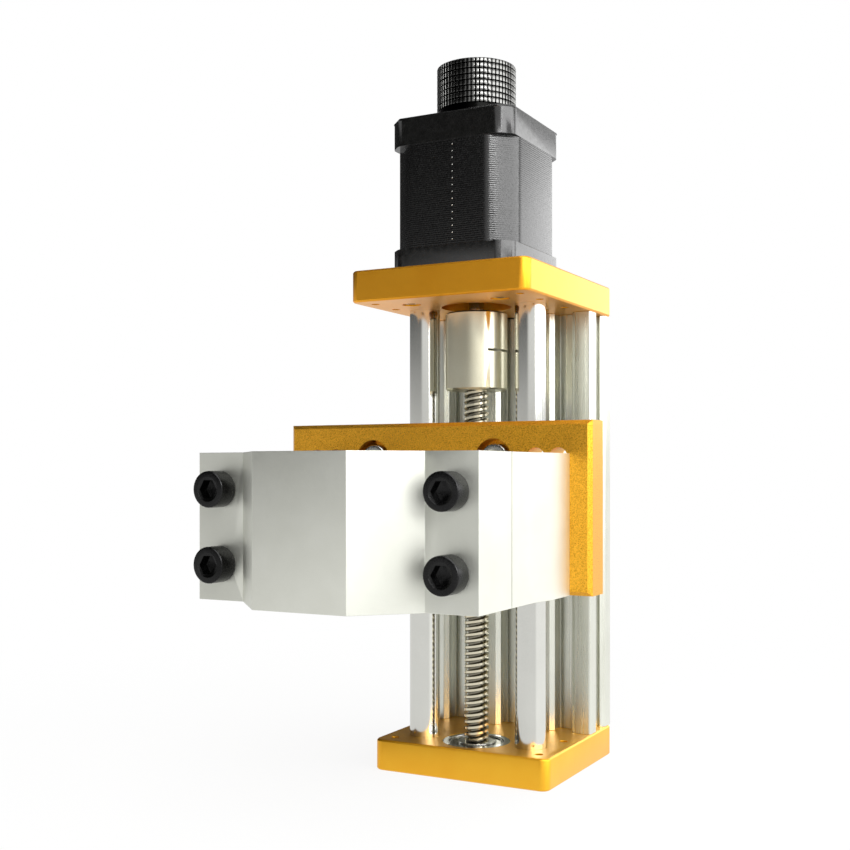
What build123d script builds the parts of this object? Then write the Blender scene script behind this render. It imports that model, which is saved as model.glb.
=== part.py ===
"""Motor-driven vertical slide for a small milling machine.

Two end plates and a slotted rear profile make the frame. A stepper motor on the top plate turns
a two-start lead screw, which lifts and lowers a carriage on two guide rods. The carriage holds
a two-piece clamp for a round spindle. Lengths are in millimetres. X is to the right, Y to the
back and Z up. The origin is on the lead screw's axis at the underside of the bottom plate.
"""
import math
import os

from build123d import *

os.makedirs("parts", exist_ok=True)

# End plates
plate_thickness = 10.0
plate_corner = 3.0
plate_side_margin = 0.5
plate_edge = 0.5
plate_clear_height = 140.5
top_plate_reach = 29.0
bottom_plate_reach = 14.0

# Slotted rear profile
profile_setback = 24.5
profile_depth = 20.0
slot_pitch = 20.0
slots_across = 3
slot_mouth = 9.2
slot_throat = 6.2
slot_bevel = 1.4
slot_lip = 1.8
slot_cavity = 11.0
slot_floor = 5.8
slot_depth = 6.1
profile_core_hole = 4.4
window_width = 9.0
window_tip_width = 3.2
profile_edge = 0.8

# Guide rods
rod_spacing = 38.0
rod_diameter = 10.0
rod_socket_floor = 4.0
rod_end_chamfer = 0.6

# Lead screw and the coupling that joins it to the motor's shaft
screw_diameter = 8.0
screw_end_chamfer = 0.8
coupling_diameter = 20.0
coupling_length = 25.0
coupling_below_plate = 2.0
coupling_edge = 0.5
coupling_slit = 0.8
coupling_slit_past_axis = 1.4
coupling_turn = 55.0
coupling_screw_wall = 0.15
coupling_screw_seat = 1.6
shaft_end_gap = 1.0

# Ball bearing that carries the foot of the lead screw
foot_bearing_outer = 22.0
foot_bearing_width = 7.0
foot_bearing_ball = 3.969
foot_bearing_balls = 7
foot_relief_depth = 1.0

# Shared proportions of the ball bearings
bearing_land = 0.72
bearing_shield = 0.3
bearing_shield_inset = 0.25

# Motor
motor_width = 42.3
motor_front_cap_height = 7.0
motor_stack_height = 32.5
motor_rear_cap_height = 9.0
motor_cap_corner = 4.0
motor_stack_corner = 7.1
motor_cap_edge = 1.0
motor_cap_lower_edge = 0.5
motor_hole_spacing = 31.0
motor_pilot_diameter = 22.0
motor_pilot_height = 2.0
motor_pilot_gap = 0.3
motor_screw_grip = 2.8
shaft_diameter = 5.0
shaft_hole_radius = 4.0
motor_bearing_outer = 16.0
motor_bearing_width = 5.0
motor_bearing_ball = 2.778
motor_bearing_balls = 8
bearing_seat_depth_rear = 1.0
spring_washer_height = 0.6
spring_washer_width = 2.5
rotor_radius = 12.9
rotor_magnet_radius = 11.5
rotor_magnet_height = 4.0
rotor_stack_length = 11.0
rotor_air_gap = 0.3
stator_slot_radius = 18.0
stator_poles = 8
pole_width = 4.5
pole_shoe = 0.8
coil_wall = 1.8
coil_overhang = 2.0
coil_room = 0.4
coil_room_inner = 12.6
socket_width = 16.0
socket_height = 6.2
socket_reach = 5.4
socket_inset = 2.4
socket_wall = 0.9
socket_pins = 6
socket_pin_pitch = 2.0
socket_pin_width = 0.5
socket_pin_reach = 3.8

# Knob on the motor's upper shaft end
knob_diameter = 25.6
knob_height = 18.0
knob_gap = 0.7
knob_roof = 2.0
knob_ring_pitch = 1.8
knob_ring_width = 0.7
knob_ring_depth = 0.35
knob_edge = 0.6
knob_screw_height = 5.4
knob_screw_recess = 2.0

# Carriage
carriage_height = 50.0
carriage_below_coupling = 11.5
carriage_plate_width = 102.0
carriage_plate_thickness = 10.0
carriage_plate_edge = 1.2
carriage_plate_rear_edge = 0.5
carriage_screw_x = 20.5
carriage_screw_z = 14.3
carriage_counterbore = 11.5
spare_hole_x = (34.0, 41.0)
spare_hole_z = 14.5
spare_hole_diameter = 5.5
block_side_wall = 2.5
block_front_wall = 11.9
block_rear_wall = 3.0
block_edge = 0.6

# Linear ball bearings
linear_outer = 19.0
linear_length = 29.0
linear_shell = 1.6
linear_seal = 2.0
linear_ball = 2.0
linear_rows = 4
linear_balls_per_row = 8
linear_groove_width = 1.3
linear_groove_depth = 0.5
linear_groove_inset = 3.5
circlip_thickness = 1.0
circlip_depth = 0.7
circlip_overlap = 1.5
circlip_gap = 5.0

# Lead nut
nut_body_diameter = 10.2
nut_body_length = 11.5
nut_flange_diameter = 22.0
nut_flange_thickness = 3.5
nut_flange_width = 18.0
nut_screw_circle = 16.0

# Spindle clamp
clamp_height = 40.5
clamp_bore = 52.0
clamp_rear_wall = 10.5
clamp_front_wall = 8.6
clamp_split = 0.4
clamp_ear_margin = 7.5
clamp_ear_reach = 19.8
clamp_flare = 1.6
clamp_flare_start = 14.3
clamp_flare_end = 21.4
clamp_bulge_margin = 2.0
clamp_flat_width = 28.2
clamp_bolt_margin = 9.4
clamp_bolt_spacing = 20.5
clamp_bolt_length = 40.0
clamp_fixing_x = 37.5
clamp_fixing_z = 7.0

# Small tapped holes in the end plates
plate_tap_diameter = 2.6
plate_tap_depth = 6.0
bottom_taps = ((25.5, -8.5), (25.5, 12.0))
top_taps = ((25.0, -22.0), (25.5, -8.0), (25.5, 13.0))

# Fits and clearances
running_fit = 0.04
seat_fit = 0.02
thread_gap = 0.05
loose_gap = 0.25
tap_overrun = 1.0

# Worked-out widths, places and levels
profile_width = slots_across * slot_pitch
plate_width = profile_width + 2 * plate_side_margin
slot_places = [(i - (slots_across - 1) / 2) * slot_pitch for i in range(slots_across)]
bottom_top = plate_thickness
top_bottom = plate_thickness + plate_clear_height
top_top = top_bottom + plate_thickness
frame_rear = profile_setback + profile_depth
profile_axis = profile_setback + profile_depth / 2
rod_x = rod_spacing / 2
rod_radius = rod_diameter / 2
rod_low = rod_socket_floor
rod_high = top_top - rod_socket_floor
screw_radius = screw_diameter / 2
coupling_top = top_bottom - coupling_below_plate
coupling_bottom = coupling_top - coupling_length
coupling_middle = (coupling_top + coupling_bottom) / 2
foot_bearing_low = bottom_top - foot_bearing_width
screw_low = foot_bearing_low - foot_relief_depth / 2
screw_high = coupling_middle - shaft_end_gap
shaft_radius = shaft_diameter / 2
front_cap_low = top_top
stack_low = front_cap_low + motor_front_cap_height
stack_high = stack_low + motor_stack_height
motor_top = stack_high + motor_rear_cap_height
motor_pilot_bore = motor_pilot_diameter + 2 * motor_pilot_gap
stator_bore_radius = rotor_radius + rotor_air_gap
knob_low = motor_top + knob_gap
knob_high = knob_low + knob_height
carriage_top = coupling_bottom - carriage_below_coupling
carriage_base = carriage_top - carriage_height
carriage_middle = carriage_base + carriage_height / 2
block_width = rod_spacing + linear_outer + 2 * block_side_wall
block_front = linear_outer / 2 + block_front_wall
block_rear = linear_outer / 2 + block_rear_wall
carriage_plate_front = block_front + carriage_plate_thickness
circlip_bore = linear_outer / 2 - circlip_overlap
linear_low = carriage_middle - linear_length / 2
linear_high = carriage_middle + linear_length / 2
clamp_middle = carriage_base + clamp_height / 2
clamp_axis = carriage_plate_front + clamp_rear_wall + clamp_bore / 2
clamp_bolt_x = clamp_bore / 2 + clamp_bolt_margin
clamp_width = 2 * (clamp_bolt_x + clamp_ear_margin)
clamp_rear_width = clamp_width + 2 * clamp_flare
clamp_ear_front = clamp_axis + clamp_ear_reach
clamp_bulge_width = clamp_bore + 2 * clamp_bulge_margin
clamp_bulge_front = clamp_axis + clamp_bore / 2 + clamp_front_wall


class Thread:
    """A screw size: thread diameter, head diameter, head height and socket width."""

    def __init__(self, diameter, head, head_height, socket):
        self.radius = diameter / 2
        self.head_radius = head / 2
        self.head_height = head_height
        self.socket = socket


m2_5 = Thread(2.5, 4.5, 2.5, 2.0)
m3 = Thread(3.0, 5.5, 3.0, 2.5)
m4 = Thread(4.0, 7.0, 4.0, 3.0)
m5 = Thread(5.0, 8.5, 5.0, 4.0)
m6 = Thread(6.0, 10.0, 6.0, 5.0)

m2_5_coupling_length = 8.0
m3_mount_length = 10.0
m4_rod_length = 12.0
m4_clamp_length = 14.0
m5_profile_length = 16.0
m5_carriage_length = 14.0
m3_nut_length = 8.0
head_gap = 0.4
m4_flat_head = 1.9
m3_flat_head = 1.3
coupling_screw_offset = screw_radius + m2_5.head_radius + coupling_screw_wall

# Shares of a screw's own size that shape its head, socket and tip
head_edge = 0.08
socket_depth = 0.55
tip_edge = 0.25
flat_head_socket = 0.8
flat_head_socket_depth = 0.7
set_screw_socket = 0.7
set_screw_socket_depth = 0.4


def cylinder(radius, low, high, x=0.0, y=0.0):
    """An upright cylinder between two levels."""
    base = Align.CENTER, Align.CENTER, Align.MIN
    return Pos(x, y, low) * Cylinder(radius, high - low, align=base)


def tube(outer, inner, low, high, x=0.0, y=0.0):
    """An upright ring between two levels."""
    return cylinder(outer, low, high, x, y) - cylinder(inner, low, high, x, y)


def block(x_low, x_high, y_low, y_high, z_low, z_high):
    """A box given by its limits."""
    size = x_high - x_low, y_high - y_low, z_high - z_low
    middle = (x_low + x_high) / 2, (y_low + y_high) / 2, (z_low + z_high) / 2
    return Pos(*middle) * Box(*size)


def aim(shape, point, direction):
    """Moves a shape so that its own upward axis points along a direction from a point."""
    return Plane(origin=point, z_dir=direction) * shape


def group(shapes):
    """Separate solids gathered as one sub-part."""
    return Compound(children=[solid for shape in shapes for solid in shape.solids()])


def save(name, *shapes):
    """Writes one sub-part's file."""
    export_step(group(shapes), f"parts/{name}.step")


def hexagon_pocket(width, depth):
    """A six-sided pocket, down from the origin's plane."""
    return extrude(RegularPolygon(width / math.sqrt(3), 6), -depth)


def socket_screw(thread, length):
    """A socket head screw: its head stands on the origin's plane and its thread goes down."""
    head = cylinder(thread.head_radius, 0, thread.head_height)
    head = chamfer(head.edges().sort_by(Axis.Z)[-1], thread.head_height * head_edge)
    head -= Pos(0, 0, thread.head_height) * hexagon_pocket(thread.socket, thread.head_height * socket_depth)
    shank = cylinder(thread.radius, -length, 0)
    shank = chamfer(shank.edges().sort_by(Axis.Z)[0], thread.radius * tip_edge)
    return head + shank


def countersunk_screw(thread, length, head_radius):
    """A flat head screw whose head is flush with the origin's plane and whose thread goes down."""
    depth = min(head_radius - thread.radius, length / 2)
    cone = Pos(0, 0, -depth / 2) * Cone(head_radius - depth, head_radius, depth)
    shank = cylinder(thread.radius, -length, -depth)
    shank = chamfer(shank.edges().sort_by(Axis.Z)[0], thread.radius * tip_edge)
    return cone + shank - hexagon_pocket(thread.socket * flat_head_socket, depth * flat_head_socket_depth)


def countersink(head_radius, hole_radius, depth):
    """The cut for a flat head screw: a cone from the origin's plane and the hole below it."""
    drop = head_radius - hole_radius
    cone = Pos(0, 0, -drop / 2) * Cone(hole_radius, head_radius, drop)
    return cone + cylinder(hole_radius, -depth, -drop)


def counterbore(head_radius, head_depth, hole_radius, depth):
    """The cut for a socket head screw, down from the origin's plane."""
    return cylinder(head_radius, -head_depth, 0) + cylinder(hole_radius, -depth, -head_depth)


def both_sides(x, y):
    """The two places mirrored about the middle plane."""
    return (-x, y), (x, y)


def corners(half):
    """The four corners of a square pattern."""
    return [(x, y) for x in (-half, half) for y in (-half, half)]


class BallBearing:
    """A shielded deep-groove ball bearing standing on a level."""

    def __init__(self, bore_radius, outer_radius, width, ball, count, low):
        self.bore_radius = bore_radius
        self.outer_radius = outer_radius
        self.width = width
        self.ball_radius = ball / 2
        self.count = count
        self.low = low
        self.pitch_radius = (bore_radius + outer_radius) / 2
        self.land = self.ball_radius * bearing_land

    def raceway(self):
        """The ring-shaped groove that the balls run in."""
        middle = self.low + self.width / 2
        return Pos(0, 0, middle) * Torus(self.pitch_radius, self.ball_radius + seat_fit)

    def outer(self):
        """The outer ring."""
        outside = self.outer_radius - seat_fit
        ring = tube(outside, self.pitch_radius + self.land, self.low, self.low + self.width)
        return ring - self.raceway()

    def inner(self):
        """The inner ring."""
        ring = tube(self.pitch_radius - self.land, self.bore_radius, self.low, self.low + self.width)
        return ring - self.raceway()

    def balls(self):
        """The balls, evenly spread round the groove."""
        middle = self.low + self.width / 2
        ball = Pos(self.pitch_radius, 0, middle) * Sphere(self.ball_radius)
        return [Rot(0, 0, 360 * i / self.count) * ball for i in range(self.count)]

    def shields(self):
        """The two thin covers, held by the outer ring."""
        outside = self.pitch_radius + self.land - seat_fit
        inside = self.pitch_radius - self.land + loose_gap
        first = self.low + bearing_shield_inset
        second = self.low + self.width - bearing_shield_inset - bearing_shield
        return [tube(outside, inside, z, z + bearing_shield) for z in (first, second)]


foot_bearing = BallBearing(
    screw_radius + seat_fit, foot_bearing_outer / 2, foot_bearing_width, foot_bearing_ball,
    foot_bearing_balls, foot_bearing_low)
front_bearing_low = stack_low - motor_bearing_width
rear_bearing_low = stack_high + bearing_seat_depth_rear
front_bearing = BallBearing(
    shaft_radius + seat_fit, motor_bearing_outer / 2, motor_bearing_width, motor_bearing_ball,
    motor_bearing_balls, front_bearing_low)
rear_bearing = BallBearing(
    shaft_radius + seat_fit, motor_bearing_outer / 2, motor_bearing_width, motor_bearing_ball,
    motor_bearing_balls, rear_bearing_low)


def end_plate(reach, low):
    """A plain end plate with rounded corners and broken edges."""
    middle = (frame_rear - reach) / 2
    outline = RectangleRounded(plate_width, frame_rear + reach, plate_corner)
    plate = Pos(0, middle, low) * extrude(outline, plate_thickness)
    return chamfer(plate.edges().group_by(Axis.Z)[0] + plate.edges().group_by(Axis.Z)[-1], plate_edge)


def screw_cut(thread, depth):
    """The cut for a socket head screw that stands below the surface by a small gap."""
    sunk = thread.head_height + head_gap
    return counterbore(thread.head_radius + loose_gap, sunk, thread.radius + loose_gap, depth)


def profile_screw_places():
    """Where the end screws enter the rear profile, one for each of its slots."""
    return [(x, profile_axis) for x in slot_places]


def bottom_plate():
    """The lower end plate, with the seat of the screw's bearing and the rod sockets."""
    plate = end_plate(bottom_plate_reach, 0)
    plate -= cylinder(foot_bearing_outer / 2, foot_bearing_low, bottom_top)
    relief = foot_bearing.pitch_radius - foot_bearing.land + loose_gap
    plate -= cylinder(relief, foot_bearing_low - foot_relief_depth, foot_bearing_low)
    for x, y in both_sides(rod_x, 0):
        plate -= cylinder(rod_radius + seat_fit, rod_low, bottom_top, x, y)
        cut = countersink(m4.radius + m4_flat_head, m4.radius + loose_gap, rod_low)
        plate -= aim(cut, (x, y, 0), (0, 0, -1))
    for x, y in profile_screw_places():
        plate -= aim(screw_cut(m5, plate_thickness), (x, y, 0), (0, 0, -1))
    for place in bottom_taps:
        for x, y in both_sides(*place):
            plate -= cylinder(plate_tap_diameter / 2, bottom_top - plate_tap_depth, bottom_top, x, y)
    return plate


def top_plate():
    """The upper end plate: the motor stands on it and the rods and the profile end in it."""
    plate = end_plate(top_plate_reach, top_bottom)
    plate -= cylinder(motor_pilot_bore / 2, top_bottom, top_top)
    for x, y in both_sides(rod_x, 0):
        plate -= cylinder(rod_radius + seat_fit, top_bottom, rod_high, x, y)
        cut = countersink(m4.radius + m4_flat_head, m4.radius + loose_gap, rod_socket_floor)
        plate -= Pos(x, y, top_top) * cut
    for x, y in profile_screw_places():
        plate -= Pos(x, y, top_top) * screw_cut(m5, plate_thickness)
    for x, y in corners(motor_hole_spacing / 2):
        plate -= aim(screw_cut(m3, plate_thickness), (x, y, top_bottom), (0, 0, -1))
    for place in top_taps:
        for x, y in both_sides(*place):
            plate -= cylinder(plate_tap_diameter / 2, top_bottom, top_bottom + plate_tap_depth, x, y)
    return plate


def slot_outline():
    """Half a V-shaped slot with its undercut, drawn down from the profile's face at y = 0."""
    points = [
        (-slot_mouth / 2, 0),
        (-slot_throat / 2, -slot_bevel),
        (-slot_throat / 2, -slot_lip),
        (-slot_cavity / 2, -slot_lip),
        (-slot_floor / 2, -slot_depth),
    ]
    mirrored = [(-x, y) for x, y in reversed(points)]
    return make_face(Polyline(*points, *mirrored, close=True))


def web_window():
    """The hollow between two slots of the profile, drawn about its own middle."""
    middle = profile_depth / 2 - slot_depth
    tip = profile_depth / 2 - slot_lip
    half, half_tip = window_width / 2, window_tip_width / 2
    right = [(half_tip, -tip), (half, -middle), (half, middle), (half_tip, tip)]
    left = [(-x, y) for x, y in reversed(right)]
    return make_face(Polyline(*right, *left, close=True))


def rear_profile():
    """The extruded rear profile with three slots front and back and one in each side."""
    half = profile_depth / 2
    section = RectangleRounded(profile_width, profile_depth, profile_edge)
    slot = slot_outline()
    for x in slot_places:
        section -= Pos(x, half) * slot
        section -= Pos(x, -half) * Rot(0, 0, 180) * slot
        section -= Pos(x, 0) * Circle(profile_core_hole / 2)
    section -= Pos(profile_width / 2, 0) * Rot(0, 0, -90) * slot
    section -= Pos(-profile_width / 2, 0) * Rot(0, 0, 90) * slot
    for x in slot_places[:-1]:
        section -= Pos(x + slot_pitch / 2, 0) * web_window()
    profile = Pos(0, profile_axis, bottom_top) * extrude(section, plate_clear_height)
    tap = m5_profile_length - (plate_thickness - m5.head_height - head_gap) + tap_overrun
    for x, y in profile_screw_places():
        profile -= cylinder(m5.radius + thread_gap, bottom_top, bottom_top + tap, x, y)
        profile -= cylinder(m5.radius + thread_gap, top_bottom - tap, top_bottom, x, y)
    return profile


def guide_rod(x):
    """A hardened rod with a tapped hole in each end."""
    rod = cylinder(rod_radius, rod_low, rod_high, x)
    rod = chamfer(rod.edges().group_by(Axis.Z)[0] + rod.edges().group_by(Axis.Z)[-1], rod_end_chamfer)
    tap = m4_rod_length - rod_socket_floor + tap_overrun
    rod -= cylinder(m4.radius + thread_gap, rod_low, rod_low + tap, x)
    rod -= cylinder(m4.radius + thread_gap, rod_high - tap, rod_high, x)
    return rod


def rod_end_screws():
    """Flat head screws that pull the rods into the plates."""
    screw = countersunk_screw(m4, m4_rod_length, m4.radius + m4_flat_head - thread_gap)
    low = [aim(screw, (x, y, 0), (0, 0, -1)) for x, y in both_sides(rod_x, 0)]
    high = [Pos(x, y, top_top) * screw for x, y in both_sides(rod_x, 0)]
    return low + high


def profile_end_screws():
    """Socket screws through both plates into the profile."""
    screw = socket_screw(m5, m5_profile_length)
    sunk = m5.head_height + head_gap
    low = [aim(screw, (x, y, sunk), (0, 0, -1)) for x, y in profile_screw_places()]
    high = [Pos(x, y, top_top - sunk) * screw for x, y in profile_screw_places()]
    return low + high


def lead_screw():
    """The lead screw, at its full thread diameter, from the foot bearing to the coupling."""
    screw = cylinder(screw_radius, screw_low, screw_high)
    return chamfer(screw.edges().group_by(Axis.Z)[0] + screw.edges().group_by(Axis.Z)[-1], screw_end_chamfer)


def shaft_coupling():
    """A clamping coupling, slit to its bore at both ends and half through at its middle."""
    body = cylinder(coupling_diameter / 2, coupling_bottom, coupling_top)
    body = chamfer(body.edges().group_by(Axis.Z)[0] + body.edges().group_by(Axis.Z)[-1], coupling_edge)
    body -= cylinder(screw_radius + seat_fit, coupling_bottom, coupling_middle)
    body -= cylinder(shaft_radius + seat_fit, coupling_middle, coupling_top)
    reach = coupling_diameter
    body -= block(0, reach, -coupling_slit / 2, coupling_slit / 2, coupling_bottom, coupling_top)
    low, high = coupling_middle - coupling_slit / 2, coupling_middle + coupling_slit / 2
    body -= block(-coupling_slit_past_axis, reach, -reach, reach, low, high)
    for z in coupling_screw_levels():
        seat = cylinder(m2_5.head_radius + loose_gap, 0, coupling_diameter / 2)
        hole = cylinder(m2_5.radius + thread_gap, -m2_5_coupling_length - thread_gap, 0)
        body -= aim(seat + hole, (coupling_screw_offset, coupling_screw_seat, z), (0, 1, 0))
    return Rot(0, 0, coupling_turn) * body


def coupling_screw_levels():
    """The heights of the two clamping screws."""
    return (coupling_bottom + coupling_middle) / 2, (coupling_middle + coupling_top) / 2


def coupling_screws():
    """The screws that close the coupling on the two shafts."""
    screw = socket_screw(m2_5, m2_5_coupling_length)
    places = [(coupling_screw_offset, coupling_screw_seat, z) for z in coupling_screw_levels()]
    return [Rot(0, 0, coupling_turn) * aim(screw, place, (0, 1, 0)) for place in places]


def square_with_corners(width, corner):
    """A square outline whose corners are cut off."""
    half = width / 2
    points = []
    for x_sign, y_sign in ((1, 1), (-1, 1), (-1, -1), (1, -1)):
        along = (x_sign * (half - corner), y_sign * half)
        across = (x_sign * half, y_sign * (half - corner))
        points += [across, along] if x_sign * y_sign > 0 else [along, across]
    return make_face(Polyline(*points, close=True))


def motor_cap(low, height):
    """A plain end cap of the motor."""
    return Pos(0, 0, low) * extrude(square_with_corners(motor_width, motor_cap_corner), height)


def coil_space(low, high):
    """The ring-shaped room in a cap for the ends of the windings."""
    return tube(stator_slot_radius + coil_room, coil_room_inner, low, high)


def motor_front_cap():
    """The motor's lower cap with its pilot, which stands on the top plate."""
    cap = motor_cap(front_cap_low, motor_front_cap_height)
    cap = chamfer(cap.edges().group_by(Axis.Z)[0], motor_cap_lower_edge)
    cap += cylinder(motor_pilot_diameter / 2, front_cap_low - motor_pilot_height, front_cap_low)
    cap -= cylinder(shaft_hole_radius + loose_gap, front_cap_low - motor_pilot_height, stack_low)
    cap -= cylinder(motor_bearing_outer / 2, front_bearing_low, stack_low)
    cap -= coil_space(stack_low - coil_overhang - coil_room, stack_low)
    for x, y in corners(motor_hole_spacing / 2):
        cap -= cylinder(m3.radius + thread_gap, front_cap_low, stack_low, x, y)
    return cap


def motor_rear_cap():
    """The motor's upper cap with its bearing seat, screw seats and socket window."""
    cap = motor_cap(stack_high, motor_rear_cap_height)
    cap = fillet(cap.edges().group_by(Axis.Z)[-1], motor_cap_edge)
    cap -= cylinder(shaft_hole_radius + loose_gap, stack_high, motor_top)
    seat_top = rear_bearing_low + motor_bearing_width + spring_washer_height
    cap -= cylinder(motor_bearing_outer / 2, stack_high, seat_top)
    cap -= coil_space(stack_high, stack_high + coil_overhang + coil_room)
    passage = socket_width / 2 - socket_wall
    lead_top = stack_high + coil_overhang + coil_room
    back = motor_width / 2 - socket_inset
    cap -= block(-passage, passage, stator_slot_radius - coil_wall, back, stack_high, lead_top)
    for x, y in corners(motor_hole_spacing / 2):
        head, hole = m3.head_radius + loose_gap, m3.radius + loose_gap
        cap -= Pos(x, y, motor_top) * counterbore(head, m3.head_height, hole, motor_rear_cap_height)
    cap -= socket_body(running_fit)
    return cap


def stator_laminations():
    """The stack of steel sheets between the caps, with its poles."""
    section = square_with_corners(motor_width, motor_stack_corner)
    ring = Circle(stator_slot_radius) - Circle(stator_bore_radius + pole_shoe)
    section -= Circle(stator_bore_radius + pole_shoe)
    step = 360 / stator_poles
    pole_length = stator_slot_radius - stator_bore_radius + 2 * pole_shoe
    pole = Pos((stator_bore_radius + stator_slot_radius) / 2, 0) * Rectangle(pole_length, pole_width)
    poles = [Rot(0, 0, step * i) * pole for i in range(stator_poles)]
    for one in poles:
        ring -= one
    section -= ring
    for one in poles:
        section += one
    section -= Circle(stator_bore_radius)
    for x, y in corners(motor_hole_spacing / 2):
        section -= Pos(x, y) * Circle(m3.radius + loose_gap)
    return Pos(0, 0, stack_low) * extrude(section, motor_stack_height)


def stator_coils():
    """One winding round each pole."""
    near = stator_bore_radius + pole_shoe
    half_pole = pole_width / 2 + running_fit
    half = half_pole + coil_wall
    far = math.sqrt((stator_slot_radius - loose_gap) ** 2 - half ** 2)
    low, high = stack_low - coil_overhang, stack_high + coil_overhang
    coil = block(near, far, -half, half, low, high)
    window = stack_low - running_fit, stack_high + running_fit
    coil -= block(near, far, -half_pole, half_pole, *window)
    step = 360 / stator_poles
    return [Rot(0, 0, step * i) * coil for i in range(stator_poles)]


def rotor_levels():
    """The rotor's bottom and top level, centred in the stack."""
    half = rotor_stack_length + rotor_magnet_height / 2
    middle = (stack_low + stack_high) / 2
    return middle - half, middle + half


def rotor_stacks():
    """The two iron ends of the rotor."""
    low, high = rotor_levels()
    inner = shaft_radius + seat_fit
    lower = tube(rotor_radius, inner, low, low + rotor_stack_length)
    upper = tube(rotor_radius, inner, high - rotor_stack_length, high)
    return [lower, upper]


def rotor_magnet():
    """The ring magnet between the rotor's ends."""
    low, high = rotor_levels()
    low, high = low + rotor_stack_length, high - rotor_stack_length
    return tube(rotor_magnet_radius, shaft_radius + seat_fit, low, high)


def motor_shaft():
    """The motor's shaft, out of both ends."""
    return cylinder(shaft_radius, coupling_middle + shaft_end_gap, knob_high - knob_roof)


def motor_through_screws():
    """The long screws that hold the caps and the stack together."""
    length = motor_rear_cap_height - m3.head_height + motor_stack_height + motor_screw_grip
    screw = socket_screw(m3, length)
    return [Pos(x, y, motor_top - m3.head_height) * screw for x, y in corners(motor_hole_spacing / 2)]


def motor_mount_screws():
    """The screws from below the top plate into the motor's lower cap."""
    screw = socket_screw(m3, m3_mount_length)
    seat = top_bottom + m3.head_height + head_gap
    return [aim(screw, (x, y, seat), (0, 0, -1)) for x, y in corners(motor_hole_spacing / 2)]


def spring_washer():
    """The washer that preloads the motor's upper bearing."""
    low = rear_bearing_low + motor_bearing_width
    outer = motor_bearing_outer / 2
    return tube(outer - seat_fit, outer - spring_washer_width, low, low + spring_washer_height)


def socket_body(grow=0.0):
    """The outside of the wiring socket at the back of the upper cap."""
    back = motor_width / 2
    half = socket_width / 2 + grow
    front, high = back - socket_inset - grow, stack_high + socket_height + grow
    return block(-half, half, front, back + socket_reach, stack_high, high)


def motor_socket():
    """The wiring socket, open to the back."""
    back = motor_width / 2
    half = socket_width / 2 - socket_wall
    low, high = stack_high + socket_wall, stack_high + socket_height - socket_wall
    shell = socket_body()
    shell -= block(-half, half, back - socket_inset + socket_wall, back + socket_reach, low, high)
    for x in pin_places():
        shell -= pin(x, running_fit)
    return shell


def pin_places():
    """Where the socket's pins stand, side by side."""
    first = -(socket_pins - 1) / 2 * socket_pin_pitch
    return [first + socket_pin_pitch * i for i in range(socket_pins)]


def pin(x, grow=0.0):
    """One square pin of the socket."""
    back = motor_width / 2
    half = socket_pin_width / 2 + grow
    middle = stack_high + socket_height / 2
    low, high = middle - half, middle + half
    return block(x - half, x + half, back - socket_inset, back + socket_pin_reach, low, high)


def hand_knob():
    """The knob on the shaft's upper end, with turned rings in its rim."""
    knob = cylinder(knob_diameter / 2, knob_low, knob_high)
    knob = chamfer(knob.edges().group_by(Axis.Z)[0] + knob.edges().group_by(Axis.Z)[-1], knob_edge)
    rings = int((knob_height - knob_ring_width) / knob_ring_pitch)
    start = knob_low + (knob_height - (rings - 1) * knob_ring_pitch) / 2
    rim = knob_diameter / 2
    for i in range(rings):
        middle = start + i * knob_ring_pitch
        low, high = middle - knob_ring_width / 2, middle + knob_ring_width / 2
        knob -= tube(rim + knob_ring_depth, rim - knob_ring_depth, low, high)
    knob -= cylinder(shaft_radius + seat_fit, knob_low, knob_high - knob_roof)
    hole = cylinder(m4.radius + thread_gap, 0, rim + 1)
    return knob - aim(hole, knob_screw_start(), (0, 1, 0))


def knob_screw_start():
    """Where the knob's set screw meets the shaft."""
    return 0, shaft_radius, knob_low + knob_screw_height


def set_screw(thread, length):
    """A headless screw that starts at the origin's plane and goes up, with its socket on top."""
    screw = cylinder(thread.radius, 0, length)
    screw = chamfer(screw.edges().group_by(Axis.Z)[0], thread.radius * tip_edge)
    pocket = hexagon_pocket(thread.socket * set_screw_socket, length * set_screw_socket_depth)
    return screw - Pos(0, 0, length) * pocket


def knob_set_screw():
    """The screw that locks the knob to the shaft."""
    length = knob_diameter / 2 - shaft_radius - knob_screw_recess
    x, y, z = knob_screw_start()
    return aim(set_screw(m4, length), (x, y + seat_fit, z), (0, 1, 0))


def at_height(pairs):
    """Turns places on the carriage's face, given from its middle height, into real ones."""
    return [(x, carriage_middle + z) for x, z in pairs]


def four(x, z):
    """Four places, mirrored left to right and up and down."""
    return [(-x, -z), (x, -z), (-x, z), (x, z)]


def carriage_plate():
    """The front plate of the carriage: bolted to the bearing block, and the clamp sits on it."""
    half = carriage_plate_width / 2
    rear = -block_front
    plate = block(-half, half, -carriage_plate_front, rear, carriage_base, carriage_top)
    plate = chamfer(plate.faces().sort_by(Axis.Y)[0].edges(), carriage_plate_edge)
    plate = chamfer(plate.faces().sort_by(Axis.Y)[-1].edges(), carriage_plate_rear_edge)
    for x, z in at_height(four(carriage_screw_x, carriage_screw_z)):
        sunk, hole = m5.head_height + head_gap, m5.radius + loose_gap
        cut = counterbore(carriage_counterbore / 2, sunk, hole, carriage_plate_thickness)
        plate -= aim(cut, (x, -carriage_plate_front, z), (0, -1, 0))
    spare = cylinder(spare_hole_diameter / 2, -carriage_plate_thickness, 0)
    for hole_x in spare_hole_x:
        for x, z in at_height(four(hole_x, spare_hole_z)):
            plate -= aim(spare, (x, -carriage_plate_front, z), (0, -1, 0))
    for x, z in at_height(four(clamp_fixing_x, clamp_fixing_z)):
        plate -= aim(screw_cut(m4, carriage_plate_thickness), (x, rear, z), (0, 1, 0))
    return plate


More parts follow.
